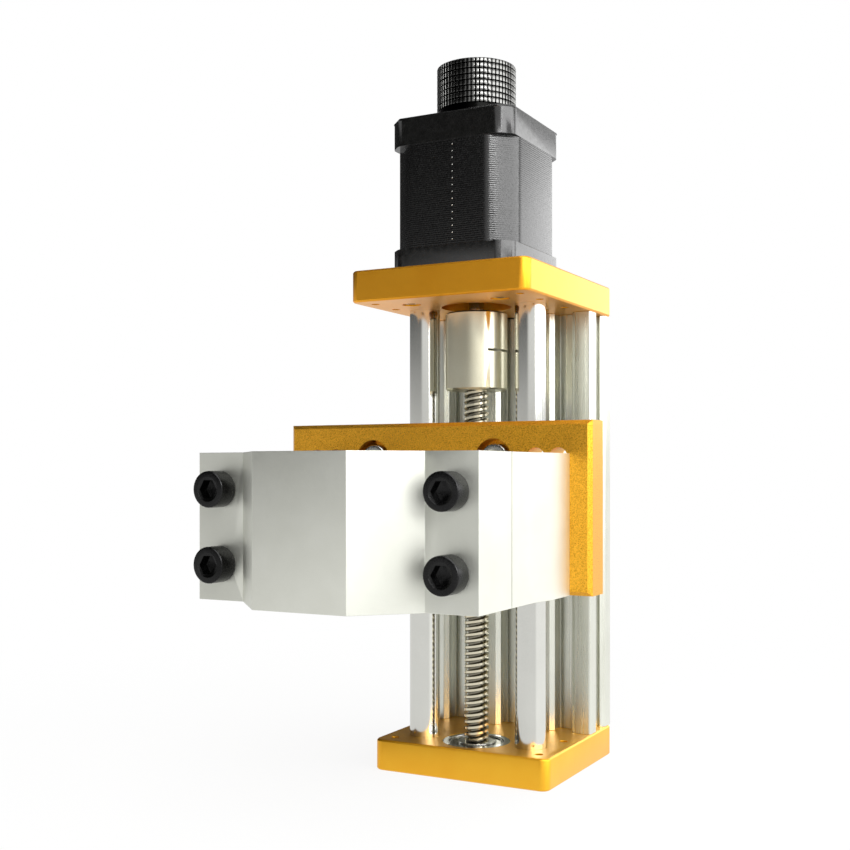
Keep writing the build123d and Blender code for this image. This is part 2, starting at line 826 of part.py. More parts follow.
def carriage_plate_screws():
    """The bright screws that hold the plate to the bearing block."""
    screw = socket_screw(m5, m5_carriage_length)
    seat = -carriage_plate_front + m5.head_height + head_gap
    places = at_height(four(carriage_screw_x, carriage_screw_z))
    return [aim(screw, (x, seat, z), (0, -1, 0)) for x, z in places]


def bearing_block():
    """The block that carries the linear bearings and the nut."""
    half = block_width / 2
    body = block(-half, half, -block_front, block_rear, carriage_base, carriage_top)
    body = chamfer(body.edges().filter_by(Axis.Z), block_edge)
    body -= cylinder(nut_body_diameter / 2 + running_fit, carriage_base, carriage_top)
    for x, y in both_sides(rod_x, 0):
        body -= cylinder(linear_outer / 2 + seat_fit, carriage_base, carriage_top, x, y)
        for low in circlip_levels():
            body -= cylinder(linear_outer / 2 + circlip_depth + seat_fit, low, low + circlip_thickness, x, y)
    tap = m5_carriage_length - (carriage_plate_thickness - m5.head_height - head_gap) + tap_overrun
    for x, z in at_height(four(carriage_screw_x, carriage_screw_z)):
        body -= aim(cylinder(m5.radius + thread_gap, -tap, 0), (x, -block_front, z), (0, -1, 0))
    for x, y in nut_screw_places():
        body -= cylinder(m3.radius + thread_gap, carriage_base, carriage_base + m3_nut_length, x, y)
    return body


def circlip_levels():
    """The undersides of the two retaining rings of a linear bearing."""
    return linear_low - circlip_thickness, linear_high


def circlips():
    """Open retaining rings that hold the linear bearings in the block."""
    rings = []
    for x, y in both_sides(rod_x, 0):
        for low in circlip_levels():
            high, half = low + circlip_thickness, circlip_gap / 2
            ring = tube(linear_outer / 2 + circlip_depth, circlip_bore, low, high, x, y)
            rings.append(ring - block(x - half, x + half, y, y + linear_outer, low, high))
    return rings


def linear_sleeves():
    """The hardened outer sleeves of the linear bearings."""
    sleeves = []
    outer = linear_outer / 2
    for x, y in both_sides(rod_x, 0):
        sleeve = tube(outer, outer - linear_shell, linear_low, linear_high, x, y)
        first = linear_low + linear_groove_inset
        second = linear_high - linear_groove_inset - linear_groove_width
        for low in (first, second):
            sleeve -= tube(outer + 1, outer - linear_groove_depth, low, low + linear_groove_width, x, y)
        sleeves.append(sleeve)
    return sleeves


def linear_ball_places():
    """Each ball of the linear bearings, as its bearing's x, its angle and its height."""
    inside = linear_length - 2 * linear_seal
    step = inside / (linear_balls_per_row + 1)
    levels = [linear_low + linear_seal + step * (i + 1) for i in range(linear_balls_per_row)]
    turns = [45 + 360 / linear_rows * i for i in range(linear_rows)]
    return [(x, turn, z) for x in (-rod_x, rod_x) for turn in turns for z in levels]


def linear_ball_radius():
    """How far the middle of a ball is from its rod's axis."""
    return rod_radius + linear_ball / 2 + seat_fit


def linear_retainers():
    """The plastic cages that guide the balls."""
    outer = linear_outer / 2 - linear_shell - seat_fit
    low, high = linear_low + linear_seal, linear_high - linear_seal
    cages = []
    for x in (-rod_x, rod_x):
        cage = tube(outer, rod_radius + loose_gap, low, high, x)
        step = (high - low) / (linear_balls_per_row + 1)
        width = linear_ball + 2 * running_fit
        reach = linear_outer / 2
        for i in range(linear_rows):
            slot = block(0, reach, -width / 2, width / 2, low + step / 2, high - step / 2)
            cage -= Pos(x, 0, 0) * Rot(0, 0, 45 + 360 / linear_rows * i) * slot
        cages.append(cage)
    return cages


def linear_balls():
    """The balls that roll on the rods."""
    ball = Sphere(linear_ball / 2)
    radius = linear_ball_radius()
    return [Pos(x, 0, z) * Rot(0, 0, turn) * Pos(radius, 0, 0) * ball for x, turn, z in linear_ball_places()]


def linear_seals():
    """The rubber rings at both ends of each linear bearing."""
    outer = linear_outer / 2 - linear_shell - seat_fit
    seals = []
    for x, y in both_sides(rod_x, 0):
        for low in (linear_low, linear_high - linear_seal):
            seals.append(tube(outer, rod_radius + running_fit, low, low + linear_seal, x, y))
    return seals


def nut_screw_places():
    """The four screws of the nut's flange, evenly spread between its flats."""
    return corners(nut_screw_circle / 2 / math.sqrt(2))


def lead_nut():
    """The flanged nut under the block, with its flange trimmed to clear the bearings."""
    low = carriage_base - nut_flange_thickness
    flange = cylinder(nut_flange_diameter / 2, low, carriage_base)
    half = nut_flange_width / 2
    flange &= block(-half, half, -nut_flange_diameter, nut_flange_diameter, low, carriage_base)
    nut = flange + cylinder(nut_body_diameter / 2, carriage_base, carriage_base + nut_body_length)
    nut -= cylinder(screw_radius + running_fit, low, carriage_base + nut_body_length)
    for x, y in nut_screw_places():
        cut = countersink(m3.radius + m3_flat_head, m3.radius + loose_gap, nut_flange_thickness)
        nut -= aim(cut, (x, y, low), (0, 0, -1))
    return nut


def nut_screws():
    """Flat head screws that hold the nut to the block."""
    length = m3_nut_length + nut_flange_thickness - tap_overrun
    screw = countersunk_screw(m3, length, m3.radius + m3_flat_head - thread_gap)
    low = carriage_base - nut_flange_thickness
    return [aim(screw, (x, y, low), (0, 0, -1)) for x, y in nut_screw_places()]


def clamp_bolt_places():
    """The clamp's four bolts, as x and height."""
    half = clamp_bolt_spacing / 2
    return [(x, clamp_middle + z) for x in (-clamp_bolt_x, clamp_bolt_x) for z in (-half, half)]


def clamp_outline(points):
    """A face mirrored about the middle plane from the points of its right half, front to back."""
    mirrored = [(-x, y) for x, y in reversed(points)]
    return make_face(Polyline(*points, *mirrored, close=True))


def clamp_part(points):
    """A clamp half: its outline carried up to the clamp's height, less the spindle's bore."""
    section = clamp_outline(points) - Pos(0, -clamp_axis) * Circle(clamp_bore / 2)
    return Pos(0, 0, carriage_base) * extrude(section, clamp_height)


def clamp_cap():
    """The front half of the spindle clamp."""
    seam = -clamp_axis - clamp_split / 2
    cap = clamp_part([
        (clamp_flat_width / 2, -clamp_bulge_front),
        (clamp_bulge_width / 2, -clamp_ear_front),
        (clamp_width / 2, -clamp_ear_front),
        (clamp_width / 2, seam),
    ])
    for x, z in clamp_bolt_places():
        cap -= aim(cylinder(m6.radius + loose_gap, -clamp_bore, 1), (x, -clamp_ear_front, z), (0, -1, 0))
    return cap


def clamp_base():
    """The rear half of the spindle clamp, which flares out to its foot."""
    seam = -clamp_axis + clamp_split / 2
    base = clamp_part([
        (clamp_width / 2, seam),
        (clamp_width / 2, -clamp_flare_end - carriage_plate_front),
        (clamp_rear_width / 2, -clamp_flare_start - carriage_plate_front),
        (clamp_rear_width / 2, -carriage_plate_front),
    ])
    tip = -clamp_ear_front + clamp_bolt_length + tap_overrun
    for x, z in clamp_bolt_places():
        base -= aim(cylinder(m6.radius + thread_gap, 0, tip - seam), (x, seam, z), (0, 1, 0))
    depth = m4_clamp_length - (carriage_plate_thickness - m4.head_height - head_gap) + tap_overrun
    for x, z in at_height(four(clamp_fixing_x, clamp_fixing_z)):
        base -= aim(cylinder(m4.radius + thread_gap, -depth, 0), (x, -carriage_plate_front, z), (0, 1, 0))
    return base


def clamp_bolts():
    """The four black bolts that close the clamp."""
    bolt = socket_screw(m6, clamp_bolt_length)
    return [aim(bolt, (x, -clamp_ear_front, z), (0, -1, 0)) for x, z in clamp_bolt_places()]


def clamp_fixing_screws():
    """The screws from behind the plate that hold the clamp to it."""
    screw = socket_screw(m4, m4_clamp_length)
    seat = -block_front - m4.head_height - head_gap
    return [aim(screw, (x, seat, z), (0, 1, 0)) for x, z in at_height(four(clamp_fixing_x, clamp_fixing_z))]


save("bottom_plate", bottom_plate())
save("top_plate", top_plate())
save("rear_profile", rear_profile())
save("guide_rod_left", guide_rod(-rod_x))
save("guide_rod_right", guide_rod(rod_x))
save("rod_end_screws", *rod_end_screws())
save("profile_end_screws", *profile_end_screws())
save("lead_screw", lead_screw())
save("foot_bearing_outer_ring", foot_bearing.outer())
save("foot_bearing_inner_ring", foot_bearing.inner())
save("foot_bearing_balls", *foot_bearing.balls())
save("foot_bearing_shields", *foot_bearing.shields())
save("shaft_coupling", shaft_coupling())
save("coupling_screws", *coupling_screws())
save("motor_front_cap", motor_front_cap())
save("motor_rear_cap", motor_rear_cap())
save("stator_laminations", stator_laminations())
save("stator_coils", *stator_coils())
save("rotor_stacks", *rotor_stacks())
save("rotor_magnet", rotor_magnet())
save("motor_shaft", motor_shaft())
save("motor_bearing_outer_rings", front_bearing.outer(), rear_bearing.outer())
save("motor_bearing_inner_rings", front_bearing.inner(), rear_bearing.inner())
save("motor_bearing_balls", *front_bearing.balls(), *rear_bearing.balls())
save("motor_bearing_shields", *front_bearing.shields(), *rear_bearing.shields())
save("spring_washer", spring_washer())
save("motor_through_screws", *motor_through_screws())
save("motor_mount_screws", *motor_mount_screws())
save("motor_socket", motor_socket())
save("motor_socket_pins", *[pin(x) for x in pin_places()])
save("hand_knob", hand_knob())
save("knob_set_screw", knob_set_screw())
save("carriage_plate", carriage_plate())
save("carriage_plate_screws", *carriage_plate_screws())
save("bearing_block", bearing_block())
save("circlips", *circlips())
save("linear_sleeves", *linear_sleeves())
save("linear_retainers", *linear_retainers())
save("linear_balls", *linear_balls())
save("linear_seals", *linear_seals())
save("lead_nut", lead_nut())
save("nut_screws", *nut_screws())
save("clamp_base", clamp_base())
save("clamp_cap", clamp_cap())
save("clamp_bolts", *clamp_bolts())
save("clamp_fixing_screws", *clamp_fixing_screws())
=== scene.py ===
"""Looks of a motor-driven vertical slide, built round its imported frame.

Lengths are in metres unless a name ends in _mm. X is to the right, Y to the back and Z up. The
lead screw's axis is the Z axis, and the slide stands on the floor at Z = 0.

The finishes come first, then the helpers that shape meshes, then a class for each sub-assembly and
last the studio with its camera, panels and floor.
"""
import logging
import math
from collections.abc import Iterable, Sequence
from dataclasses import dataclass, replace
from enum import Enum

import bmesh
import bpy
from bmesh.types import BMFace, BMVert, BMesh
from bpy.types import Material, Mesh, Node, NodeSocket, NodeTree, Object
from mathutils import Matrix, Vector


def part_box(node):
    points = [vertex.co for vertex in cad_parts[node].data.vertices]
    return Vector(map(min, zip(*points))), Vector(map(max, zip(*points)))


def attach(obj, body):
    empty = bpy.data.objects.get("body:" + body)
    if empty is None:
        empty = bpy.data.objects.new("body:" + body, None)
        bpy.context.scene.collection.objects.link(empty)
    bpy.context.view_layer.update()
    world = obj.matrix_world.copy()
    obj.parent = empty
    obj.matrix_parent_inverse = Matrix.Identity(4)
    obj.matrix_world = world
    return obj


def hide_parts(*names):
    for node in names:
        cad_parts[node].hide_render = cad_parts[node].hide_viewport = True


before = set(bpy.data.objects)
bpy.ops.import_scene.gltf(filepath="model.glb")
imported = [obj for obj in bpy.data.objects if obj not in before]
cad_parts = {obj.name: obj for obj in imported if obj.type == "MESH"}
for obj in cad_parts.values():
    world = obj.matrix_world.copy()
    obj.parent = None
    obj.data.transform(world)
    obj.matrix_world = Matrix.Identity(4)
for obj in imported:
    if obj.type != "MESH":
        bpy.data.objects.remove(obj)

logging.basicConfig(level=logging.INFO, format="%(message)s")
log = logging.getLogger("slide")

MM = 0.001
UP = Vector((0.0, 0.0, 1.0))
FRONT = Vector((0.0, -1.0, 0.0))
WHITE = (1.0, 1.0, 1.0, 1.0)
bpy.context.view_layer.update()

# A wave texture of scale 1 repeats once in this length.
WAVE_LENGTH = 0.314
# The parts of a noise texture's range that steer colour and gloss.
COLOUR_SPAN = (0.35, 0.65)
GLOSS_SPAN = (0.3, 0.7)
LEAST_ROUGHNESS = 0.02
# The clear layer on a coated surface is a little smoother than what it covers.
COAT_SHARE = 0.8
# Points nearer than this are one point, and faces that turn by less than this are one face.
SAME_POINT_MM = 0.0005
SAME_FACE_DEGREES = 0.5
# An upright edge's ends are at most this far apart from above, and at least this far in height.
UPRIGHT_LEAN_MM = 0.01
UPRIGHT_HEIGHT_MM = 2


class Body(Enum):
    """The rigid groups that pieces ride on."""

    FRAME = "frame"
    DRIVE = "drive"
    CARRIAGE = "carriage"


def linear(code: str) -> tuple[float, float, float, float]:
    """Turns an sRGB hex value into linear colour.

    Args:
        code: the colour as six hex digits.

    Returns:
        Red, green, blue and an alpha of one.
    """
    shares = [int(code[i:i + 2], 16) / 255 for i in (0, 2, 4)]
    red, green, blue = (s / 12.92 if s <= 0.04045 else ((s + 0.055) / 1.055) ** 2.4 for s in shares)
    return red, green, blue, 1.0


def add_node(tree: NodeTree, kind: str, settings: dict | None = None, links: dict | None = None) -> Node:
    """Adds a node with its settings and links.

    Args:
        tree: the node tree.
        kind: the node's type name.
        settings: values by socket name or number, or by property name.
        links: output sockets by the name or number of the input they go to.

    Returns:
        The new node.
    """
    node = tree.nodes.new(kind)
    for key, value in (settings or {}).items():
        if isinstance(key, str) and key not in node.inputs:
            setattr(node, key, value)
        else:
            node.inputs[key].default_value = value
    for key, socket in (links or {}).items():
        tree.links.new(socket, node.inputs[key])
    return node


@dataclass(frozen=True)
class Finish:
    """A surface: its colour, its gloss and the fine pattern that its making left.

    Attributes:
        name: the material's name.
        colour: the lighter end of its colour, as sRGB hex.
        shade: the darker end of its colour, as sRGB hex.
        metallic: 1 for bare or anodised metal, 0 for paint, plastic and rubber.
        roughness: the middle of its roughness.
        roughness_spread: how far the roughness varies with the grain.
        grain_mm: the size of its finest pattern.
        grain_stretch: how much the grain is squeezed along each axis.
        bump_mm: the height of the relief.
        grain_share: how much of the colour pattern is grain, where the rest is cloud.
        cloud_mm: the size of its widest pattern.
        ior: the index of refraction.
        coat: the weight of a clear layer.
    """

    name: str
    colour: str
    shade: str
    metallic: float = 1.0
    roughness: float = 0.35
    roughness_spread: float = 0.06
    grain_mm: float = 0.4
    grain_stretch: tuple[float, float, float] = (1.0, 1.0, 1.0)
    bump_mm: float = 0.004
    grain_share: float = 0.35
    cloud_mm: float = 12.0
    ior: float = 1.5
    coat: float = 0.0

    def material(self) -> Material:
        """Gives the finish's material, made on first use.

        Returns:
            The material.
        """
        found = bpy.data.materials.get(self.name)
        return found or self.make()

    def make(self) -> Material:
        """Makes the material from a fine grain and a soft cloud of colour.

        Returns:
            The material.
        """
        made = bpy.data.materials.new(self.name)
        made.use_nodes = True
        tree = made.node_tree
        shader = tree.nodes["Principled BSDF"]
        shader.inputs["Metallic"].default_value = self.metallic
        shader.inputs["IOR"].default_value = self.ior
        shader.inputs["Coat Weight"].default_value = self.coat
        shader.inputs["Coat Roughness"].default_value = self.roughness * COAT_SHARE
        place = add_node(tree, "ShaderNodeTexCoord")
        stretched = add_node(tree, "ShaderNodeMapping", {"Scale": self.grain_stretch},
                             {"Vector": place.outputs["Object"]})
        grain = add_node(tree, "ShaderNodeTexNoise", {"Scale": 1 / (self.grain_mm * MM), "Detail": 2.0},
                         {"Vector": stretched.outputs["Vector"]})
        cloud = add_node(tree, "ShaderNodeTexNoise", {"Scale": 1 / (self.cloud_mm * MM), "Detail": 3.0},
                         {"Vector": place.outputs["Object"]})
        blend = add_node(tree, "ShaderNodeMix", {"data_type": "RGBA", 6: linear(self.shade),
                                                 7: linear(self.colour)})
        both = add_node(tree, "ShaderNodeMix", {"data_type": "FLOAT", 0: self.grain_share},
                        {2: cloud.outputs["Fac"], 3: grain.outputs["Fac"]})
        share = add_node(tree, "ShaderNodeMapRange",
                         {"From Min": COLOUR_SPAN[0], "From Max": COLOUR_SPAN[1]},
                         {"Value": both.outputs[0]})
        tree.links.new(share.outputs["Result"], blend.inputs[0])
        tinted = self.tint(tree, blend.outputs[2], place.outputs["Object"])
        tree.links.new(tinted, shader.inputs["Base Color"])
        gloss = add_node(tree, "ShaderNodeMapRange",
                         {"From Min": GLOSS_SPAN[0], "From Max": GLOSS_SPAN[1],
                          "To Min": max(self.roughness - self.roughness_spread, LEAST_ROUGHNESS),
                          "To Max": self.roughness + self.roughness_spread},
                         {"Value": grain.outputs["Fac"]})
        tree.links.new(gloss.outputs["Result"], shader.inputs["Roughness"])
        if self.bump_mm:
            height = self.height(tree, grain.outputs["Fac"], place.outputs["Object"])
            relief = add_node(tree, "ShaderNodeBump", {"Distance": self.bump_mm * MM}, {"Height": height})
            tree.links.new(relief.outputs["Normal"], shader.inputs["Normal"])
        return made

    def height(self, tree: NodeTree, grain: NodeSocket, place: NodeSocket) -> NodeSocket:
        """Gives the relief's height, which is the grain alone unless a finish adds to it.

        Args:
            tree: the material's nodes.
            grain: the grain's output.
            place: the object coordinates.

        Returns:
            The socket with the height.
        """
        return grain

    def tint(self, tree: NodeTree, colour: NodeSocket, place: NodeSocket) -> NodeSocket:
        """Gives the final colour, which is unchanged unless a finish darkens it.

        Args:
            tree: the material's nodes.
            colour: the patterned colour.
            place: the object coordinates.

        Returns:
            The socket with the colour.
        """
        return colour


@dataclass(frozen=True)
class GrooveShadedFinish(Finish):
    """A surface round the Z axis whose colour darkens towards its grooves: painted shade in the hollows.

    Attributes:
        groove_mm: the radius of the grooves' floor.
        crest_mm: the radius from which the colour is full.
        groove_shade_share: how much of the colour is left in the grooves.
    """

    groove_mm: float = 0.0
    crest_mm: float = 1.0
    groove_shade_share: float = 0.1

    def tint(self, tree: NodeTree, colour: NodeSocket, place: NodeSocket) -> NodeSocket:
        """Darkens the colour from the crests down to the grooves, as painted shade.

        Args:
            tree: the material's nodes.
            colour: the colour on the crests.
            place: the object coordinates.

        Returns:
            The socket with the darkened colour.
        """
        # Painted shade: the colour is scaled down with the radius, towards the grooves' floor.
        flat = add_node(tree, "ShaderNodeVectorMath", {"operation": "MULTIPLY", 1: (1.0, 1.0, 0.0)},
                        {0: place})
        radius = add_node(tree, "ShaderNodeVectorMath", {"operation": "LENGTH"}, {0: flat.outputs["Vector"]})
        share = add_node(tree, "ShaderNodeMapRange",
                         {"interpolation_type": "SMOOTHSTEP", "From Min": self.groove_mm * MM,
                          "From Max": self.crest_mm * MM, "To Min": self.groove_shade_share},
                         {"Value": radius.outputs["Value"]})
        darker = add_node(tree, "ShaderNodeVectorMath", {"operation": "SCALE"},
                          {0: colour, "Scale": share.outputs["Result"]})
        return darker.outputs["Vector"]


@dataclass(frozen=True)
class TurnedFinish(Finish):
    """A surface with fine rings round the Z axis, as a lathe leaves them.

    Attributes:
        ring_mm: the distance between two rings.
        ring_height: the height of the rings as a share of the relief.
    """

    ring_mm: float = 0.5
    ring_height: float = 0.6

    def height(self, tree: NodeTree, grain: NodeSocket, place: NodeSocket) -> NodeSocket:
        """Adds the rings to the grain.

        Args:
            tree: the material's nodes.
            grain: the grain's output.
            place: the object coordinates.

        Returns:
            The socket with the height.
        """
        rings = add_node(tree, "ShaderNodeTexWave",
                         {"wave_type": "RINGS", "rings_direction": "Z",
                          "Scale": WAVE_LENGTH / (self.ring_mm * MM), "Distortion": 0.4, "Detail": 2.0},
                         {"Vector": place})
        joined = add_node(tree, "ShaderNodeMath", {"operation": "MULTIPLY_ADD", 1: self.ring_height},
                          {0: rings.outputs["Fac"], 2: grain})
        return joined.outputs["Value"]


@dataclass(frozen=True)
class LayeredFinish(Finish):
    """The edges of thin sheets stacked on one another.

    Attributes:
        sheet_mm: the height of a sheet.
        sheet_height: how far the sheets' edges stand out, as a share of the relief.
    """

    sheet_mm: float = 0.65
    sheet_height: float = 1.2

    def height(self, tree: NodeTree, grain: NodeSocket, place: NodeSocket) -> NodeSocket:
        """Adds the sheets' edges to the grain.

        Args:
            tree: the material's nodes.
            grain: the grain's output.
            place: the object coordinates.

        Returns:
            The socket with the height.
        """
        sheets = add_node(tree, "ShaderNodeTexWave",
                          {"bands_direction": "Z", "Scale": WAVE_LENGTH / (self.sheet_mm * MM),
                           "Distortion": 1.5, "Detail": 2.0, "Detail Scale": 2.0}, {"Vector": place})
        joined = add_node(tree, "ShaderNodeMath", {"operation": "MULTIPLY_ADD", 1: self.sheet_height},
                          {0: sheets.outputs["Fac"], 2: grain})
        return joined.outputs["Value"]


# Aluminium, blasted and gold anodised: a deep orange yellow under a clear layer that whitens its glare.
GOLD_ANODISED = Finish("gold_anodised_aluminium", "FDB325", "F6A91B", roughness=0.43, grain_mm=0.35,
                       bump_mm=0.008, coat=0.4)
# The bottom plate is given a lighter yellow copy of the gold: painted light standing in for the bright
# floor's light from below.
GOLD_PAINTED_FLOOR_LIGHT = replace(GOLD_ANODISED, name="gold_anodised_aluminium_painted_floor_light", colour="FFC22E", shade="FBB825")
# The carriage plate's blasting is coarser, so its sparkle shows as single specks.
GOLD_COARSE = Finish("gold_anodised_coarse_aluminium", "FFC038", "D5941A", roughness=0.4, grain_mm=0.3,
                     roughness_spread=0.14, grain_share=0.95, bump_mm=0.02, coat=0.3)
# Aluminium, blasted and clear anodised: a flat silver with a faint green cast.
CLEAR_ANODISED = Finish("clear_anodised_aluminium", "E9EAE1", "E2E3D9", roughness=0.5, grain_mm=0.3,
                        bump_mm=0.008)
# Aluminium, extruded and clear anodised: faint streaks along the die's travel.
EXTRUDED = Finish("extruded_anodised_aluminium", "E2E3D8", "D8D9CD", roughness=0.3, grain_mm=0.5,
                  grain_stretch=(1.0, 1.0, 0.01), bump_mm=0.0015)
# Aluminium, turned and clear anodised: an even satin with a wide highlight.
TURNED_ALUMINIUM = Finish("turned_anodised_aluminium", "E3DFC8", "DAD5BC", roughness=0.3,
                          roughness_spread=0.02, bump_mm=0.0)
# Steel, ground and hard chromed: a mirror.
HARD_CHROME = Finish("hard_chromed_steel", "DDDDD7", "D7D7D1", roughness=0.13, roughness_spread=0.02,
                     bump_mm=0.0)
# Stainless steel, thread rolled: smooth flanks with a warm cast, and painted shade darkening the colour down
# into the thread's roots.
ROLLED_STEEL = GrooveShadedFinish("rolled_stainless_steel", "E9E2CC", "DCD3B9", roughness=0.2, grain_mm=0.3,
                             bump_mm=0.0, groove_shade_share=0.3)
# Bearing steel, ground: bright and cool.
GROUND_STEEL = Finish("ground_bearing_steel", "D5D5D3", "C8C8C4", roughness=0.14, bump_mm=0.0)
# Steel, pressed and zinc plated: bright with a soft haze.
ZINC_PLATED = Finish("zinc_plated_steel", "CFCFCA", "BDBDB8", roughness=0.24, bump_mm=0.0)
# Steel sheet, pressed: greyer than the rings that it sits between.
PRESSED_STEEL = Finish("pressed_steel_sheet", "A3A199", "949289", roughness=0.2, bump_mm=0.0)
# Steel, heat blackened and oiled: nearly black, with a gritty sheen.
BLACK_OXIDE = Finish("black_oxide_steel", "383838", "242424", roughness=0.3, grain_mm=0.28,
                     roughness_spread=0.12, bump_mm=0.03)
# Aluminium, knurled and black anodised: pads that mirror the lights, with painted shade darkening the colour
# down into the grooves.
BLACK_ANODISED = GrooveShadedFinish("black_anodised_aluminium", "7A7A78", "6E6E6C", roughness=0.2, grain_mm=0.3,
                               bump_mm=0.0, groove_shade_share=0.02)
# Aluminium, die cast and sprayed black: dark head on, pale where it mirrors a light at a low angle.
BLACK_ALLOY = Finish("black_sprayed_alloy", "0E0E0D", "0A0A09", metallic=0.0, roughness=0.2,
                     roughness_spread=0.06, grain_mm=1.5, bump_mm=0.008, cloud_mm=6.0, ior=1.75)
# Electrical steel sheets, punched, stacked and lacquered black: pale only on the edges of the sheets.
LAMINATED_STEEL = LayeredFinish("lacquered_lamination_steel", "0B0B0A", "070707", metallic=0.0,
                                roughness=0.21, roughness_spread=0.1, grain_mm=0.5, bump_mm=0.013, ior=1.65)
# Copper wire, enamelled and wound: reddish with a varnish gloss.
COPPER_WINDING = Finish("enamelled_copper", "B5622D", "8E4520", roughness=0.3, grain_mm=0.4,
                        grain_stretch=(1.0, 1.0, 0.1), bump_mm=0.05)
# Sintered magnet: dull dark grey.
SINTERED_MAGNET = Finish("sintered_magnet", "4A4A4A", "3B3B3B", metallic=0.8, roughness=0.5, grain_mm=0.5)
# Brass, turned: yellow with fine rings.
TURNED_BRASS = TurnedFinish("turned_brass", "D9B45B", "C79E45", roughness=0.22, grain_mm=0.4, bump_mm=0.003)
# Brass, stamped and tinned.
PLATED_BRASS = Finish("plated_brass", "E3CC8E", "D4BA78", roughness=0.2, bump_mm=0.0)
# Nylon, moulded, off white.
WHITE_NYLON = Finish("moulded_nylon", "E6E1D3", "DDD7C6", metallic=0.0, roughness=0.45, bump_mm=0.004)
# Nitrile rubber, moulded.
BLACK_NITRILE = Finish("moulded_nitrile", "1C1C1C", "141414", metallic=0.0, roughness=0.6, bump_mm=0.006)


def smooth_by_angle(mesh: Mesh, degrees: float = 32.0) -> None:
    """Smooths a mesh but keeps the edges that turn by more than an angle.

    Args:
        mesh: the mesh.
        degrees: the angle.
    """
    mesh.shade_smooth()
    mesh.set_sharp_from_angle(angle=math.radians(degrees))


def add_piece(name: str, bm: BMesh, body: Body, finish: Finish,
              stands_for: Sequence[str] = ()) -> Object:
    """Turns a finished bmesh into a piece of the part.

    Args:
        name: the piece's name.
        bm: the mesh, in place in the part's frame. It is freed.
        body: the body that it moves with.
        finish: its surface.
        stands_for: the frame's nodes that it replaces.

    Returns:
        The new object.
    """
    mesh = bpy.data.meshes.new(name)
    bm.to_mesh(mesh)
    bm.free()
    smooth_by_angle(mesh)
    piece = bpy.data.objects.new(name, mesh)
    bpy.context.scene.collection.objects.link(piece)
    mesh.materials.append(finish.material())
    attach(piece, body.value)
    if stands_for:
        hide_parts(*stands_for)
    log.info("piece %s: %d faces, rides on %s", name, len(mesh.polygons), body.value)
    return piece


def paint(node: str, finish: Finish) -> None:
    """Gives one of the frame's nodes its surface.

    Args:
        node: the node's name.
        finish: its surface.
    """
    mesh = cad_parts[node].data
    mesh.materials.clear()
    mesh.materials.append(finish.material())
    log.info("node %s: %s", node, finish.name)


def merged_copy(node: str) -> BMesh:
    """Copies a node's mesh with its loose triangles joined into whole faces.

    Args:
        node: the node's name.

    Returns:
        The new mesh.
    """
    bm = bmesh.new()
    bm.from_mesh(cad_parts[node].data)
    bmesh.ops.remove_doubles(bm, verts=bm.verts, dist=SAME_POINT_MM * MM)
    bmesh.ops.dissolve_limit(bm, angle_limit=math.radians(SAME_FACE_DEGREES), verts=bm.verts,
                             edges=bm.edges)
    return bm


def round_uprights(bm: BMesh, radius_mm: float, inset_mm: float) -> None:
    """Rounds the upright edges near the outside of a square shape centred on the Z axis.

    Args:
        bm: the mesh.
        radius_mm: how far each round reaches from its edge.
        inset_mm: how far inside the outline an edge may lie.
    """
    outside = max(v.co.x for v in bm.verts) - inset_mm * MM
    uprights = []
    for edge in bm.edges:
        first, second = (v.co for v in edge.verts)
        lean, tall = (first.xy - second.xy).length, abs(first.z - second.z)
        upright = lean < UPRIGHT_LEAN_MM * MM and tall > UPRIGHT_HEIGHT_MM * MM
        if upright and max(abs(first.x), abs(first.y)) > outside:
            uprights.append(edge)
    bmesh.ops.bevel(bm, geom=uprights, offset=radius_mm * MM, segments=4, profile=0.5, affect="EDGES",
                    material=-1, clamp_overlap=True)


def refine(node: str, body: Body, finish: Finish, edge_mm: float = 0.2,
           angle: float = 40.0, upright_mm: float = 0.0) -> Object:
    """Replaces a node by a copy whose sharp edges are broken, as a real part's are.

    Args:
        node: the node's name.
        body: the body that it moves with.
        finish: its surface.
        edge_mm: the width of the broken edge.
        angle: the turn in degrees past which an edge is broken.
        upright_mm: how far the outer upright edges are rounded.

    Returns:
        The new object.
    """
    bm = merged_copy(node)
    if upright_mm:
        round_uprights(bm, upright_mm, 0.05)
    piece = add_piece(f"{node}_finished", bm, body, finish, (node,))
    edge = piece.modifiers.new("edges", "BEVEL")
    edge.width = edge_mm * MM
    edge.segments = 2
    edge.limit_method = "ANGLE"
    edge.angle_limit = math.radians(angle)
    edge.miter_outer = "MITER_ARC"
    edge.use_clamp_overlap = True
    edge.harden_normals = True
    return piece


def lathe(bm: BMesh, outline: Iterable[tuple[float, float]], steps: int = 64,
          closed: bool = False) -> list[BMVert]:
    """Turns an outline about the Z axis.

    Args:
        bm: the mesh to add to.
        outline: radius and height of each point, in metres.
        steps: the number of faces round the axis.
        closed: whether the last point joins the first.

    Returns:
        The new vertices.
    """
    before = set(bm.verts)
    line = [bm.verts.new((max(radius, 0.0), 0.0, height)) for radius, height in outline]
    pairs = list(zip(line, line[1:] + line[:1])) if closed else list(zip(line, line[1:]))
    edges = [bm.edges.new(pair) for pair in pairs]
    bmesh.ops.spin(bm, geom=line + edges, cent=(0, 0, 0), axis=UP, angle=math.tau, steps=steps,
                   use_merge=True)
    made = [v for v in bm.verts if v not in before]
    bmesh.ops.remove_doubles(bm, verts=made, dist=0.001 * MM)
    made = [v for v in bm.verts if v not in before]
    faces = {face for v in made for face in v.link_faces}
    bmesh.ops.recalc_face_normals(bm, faces=list(faces))
    return made


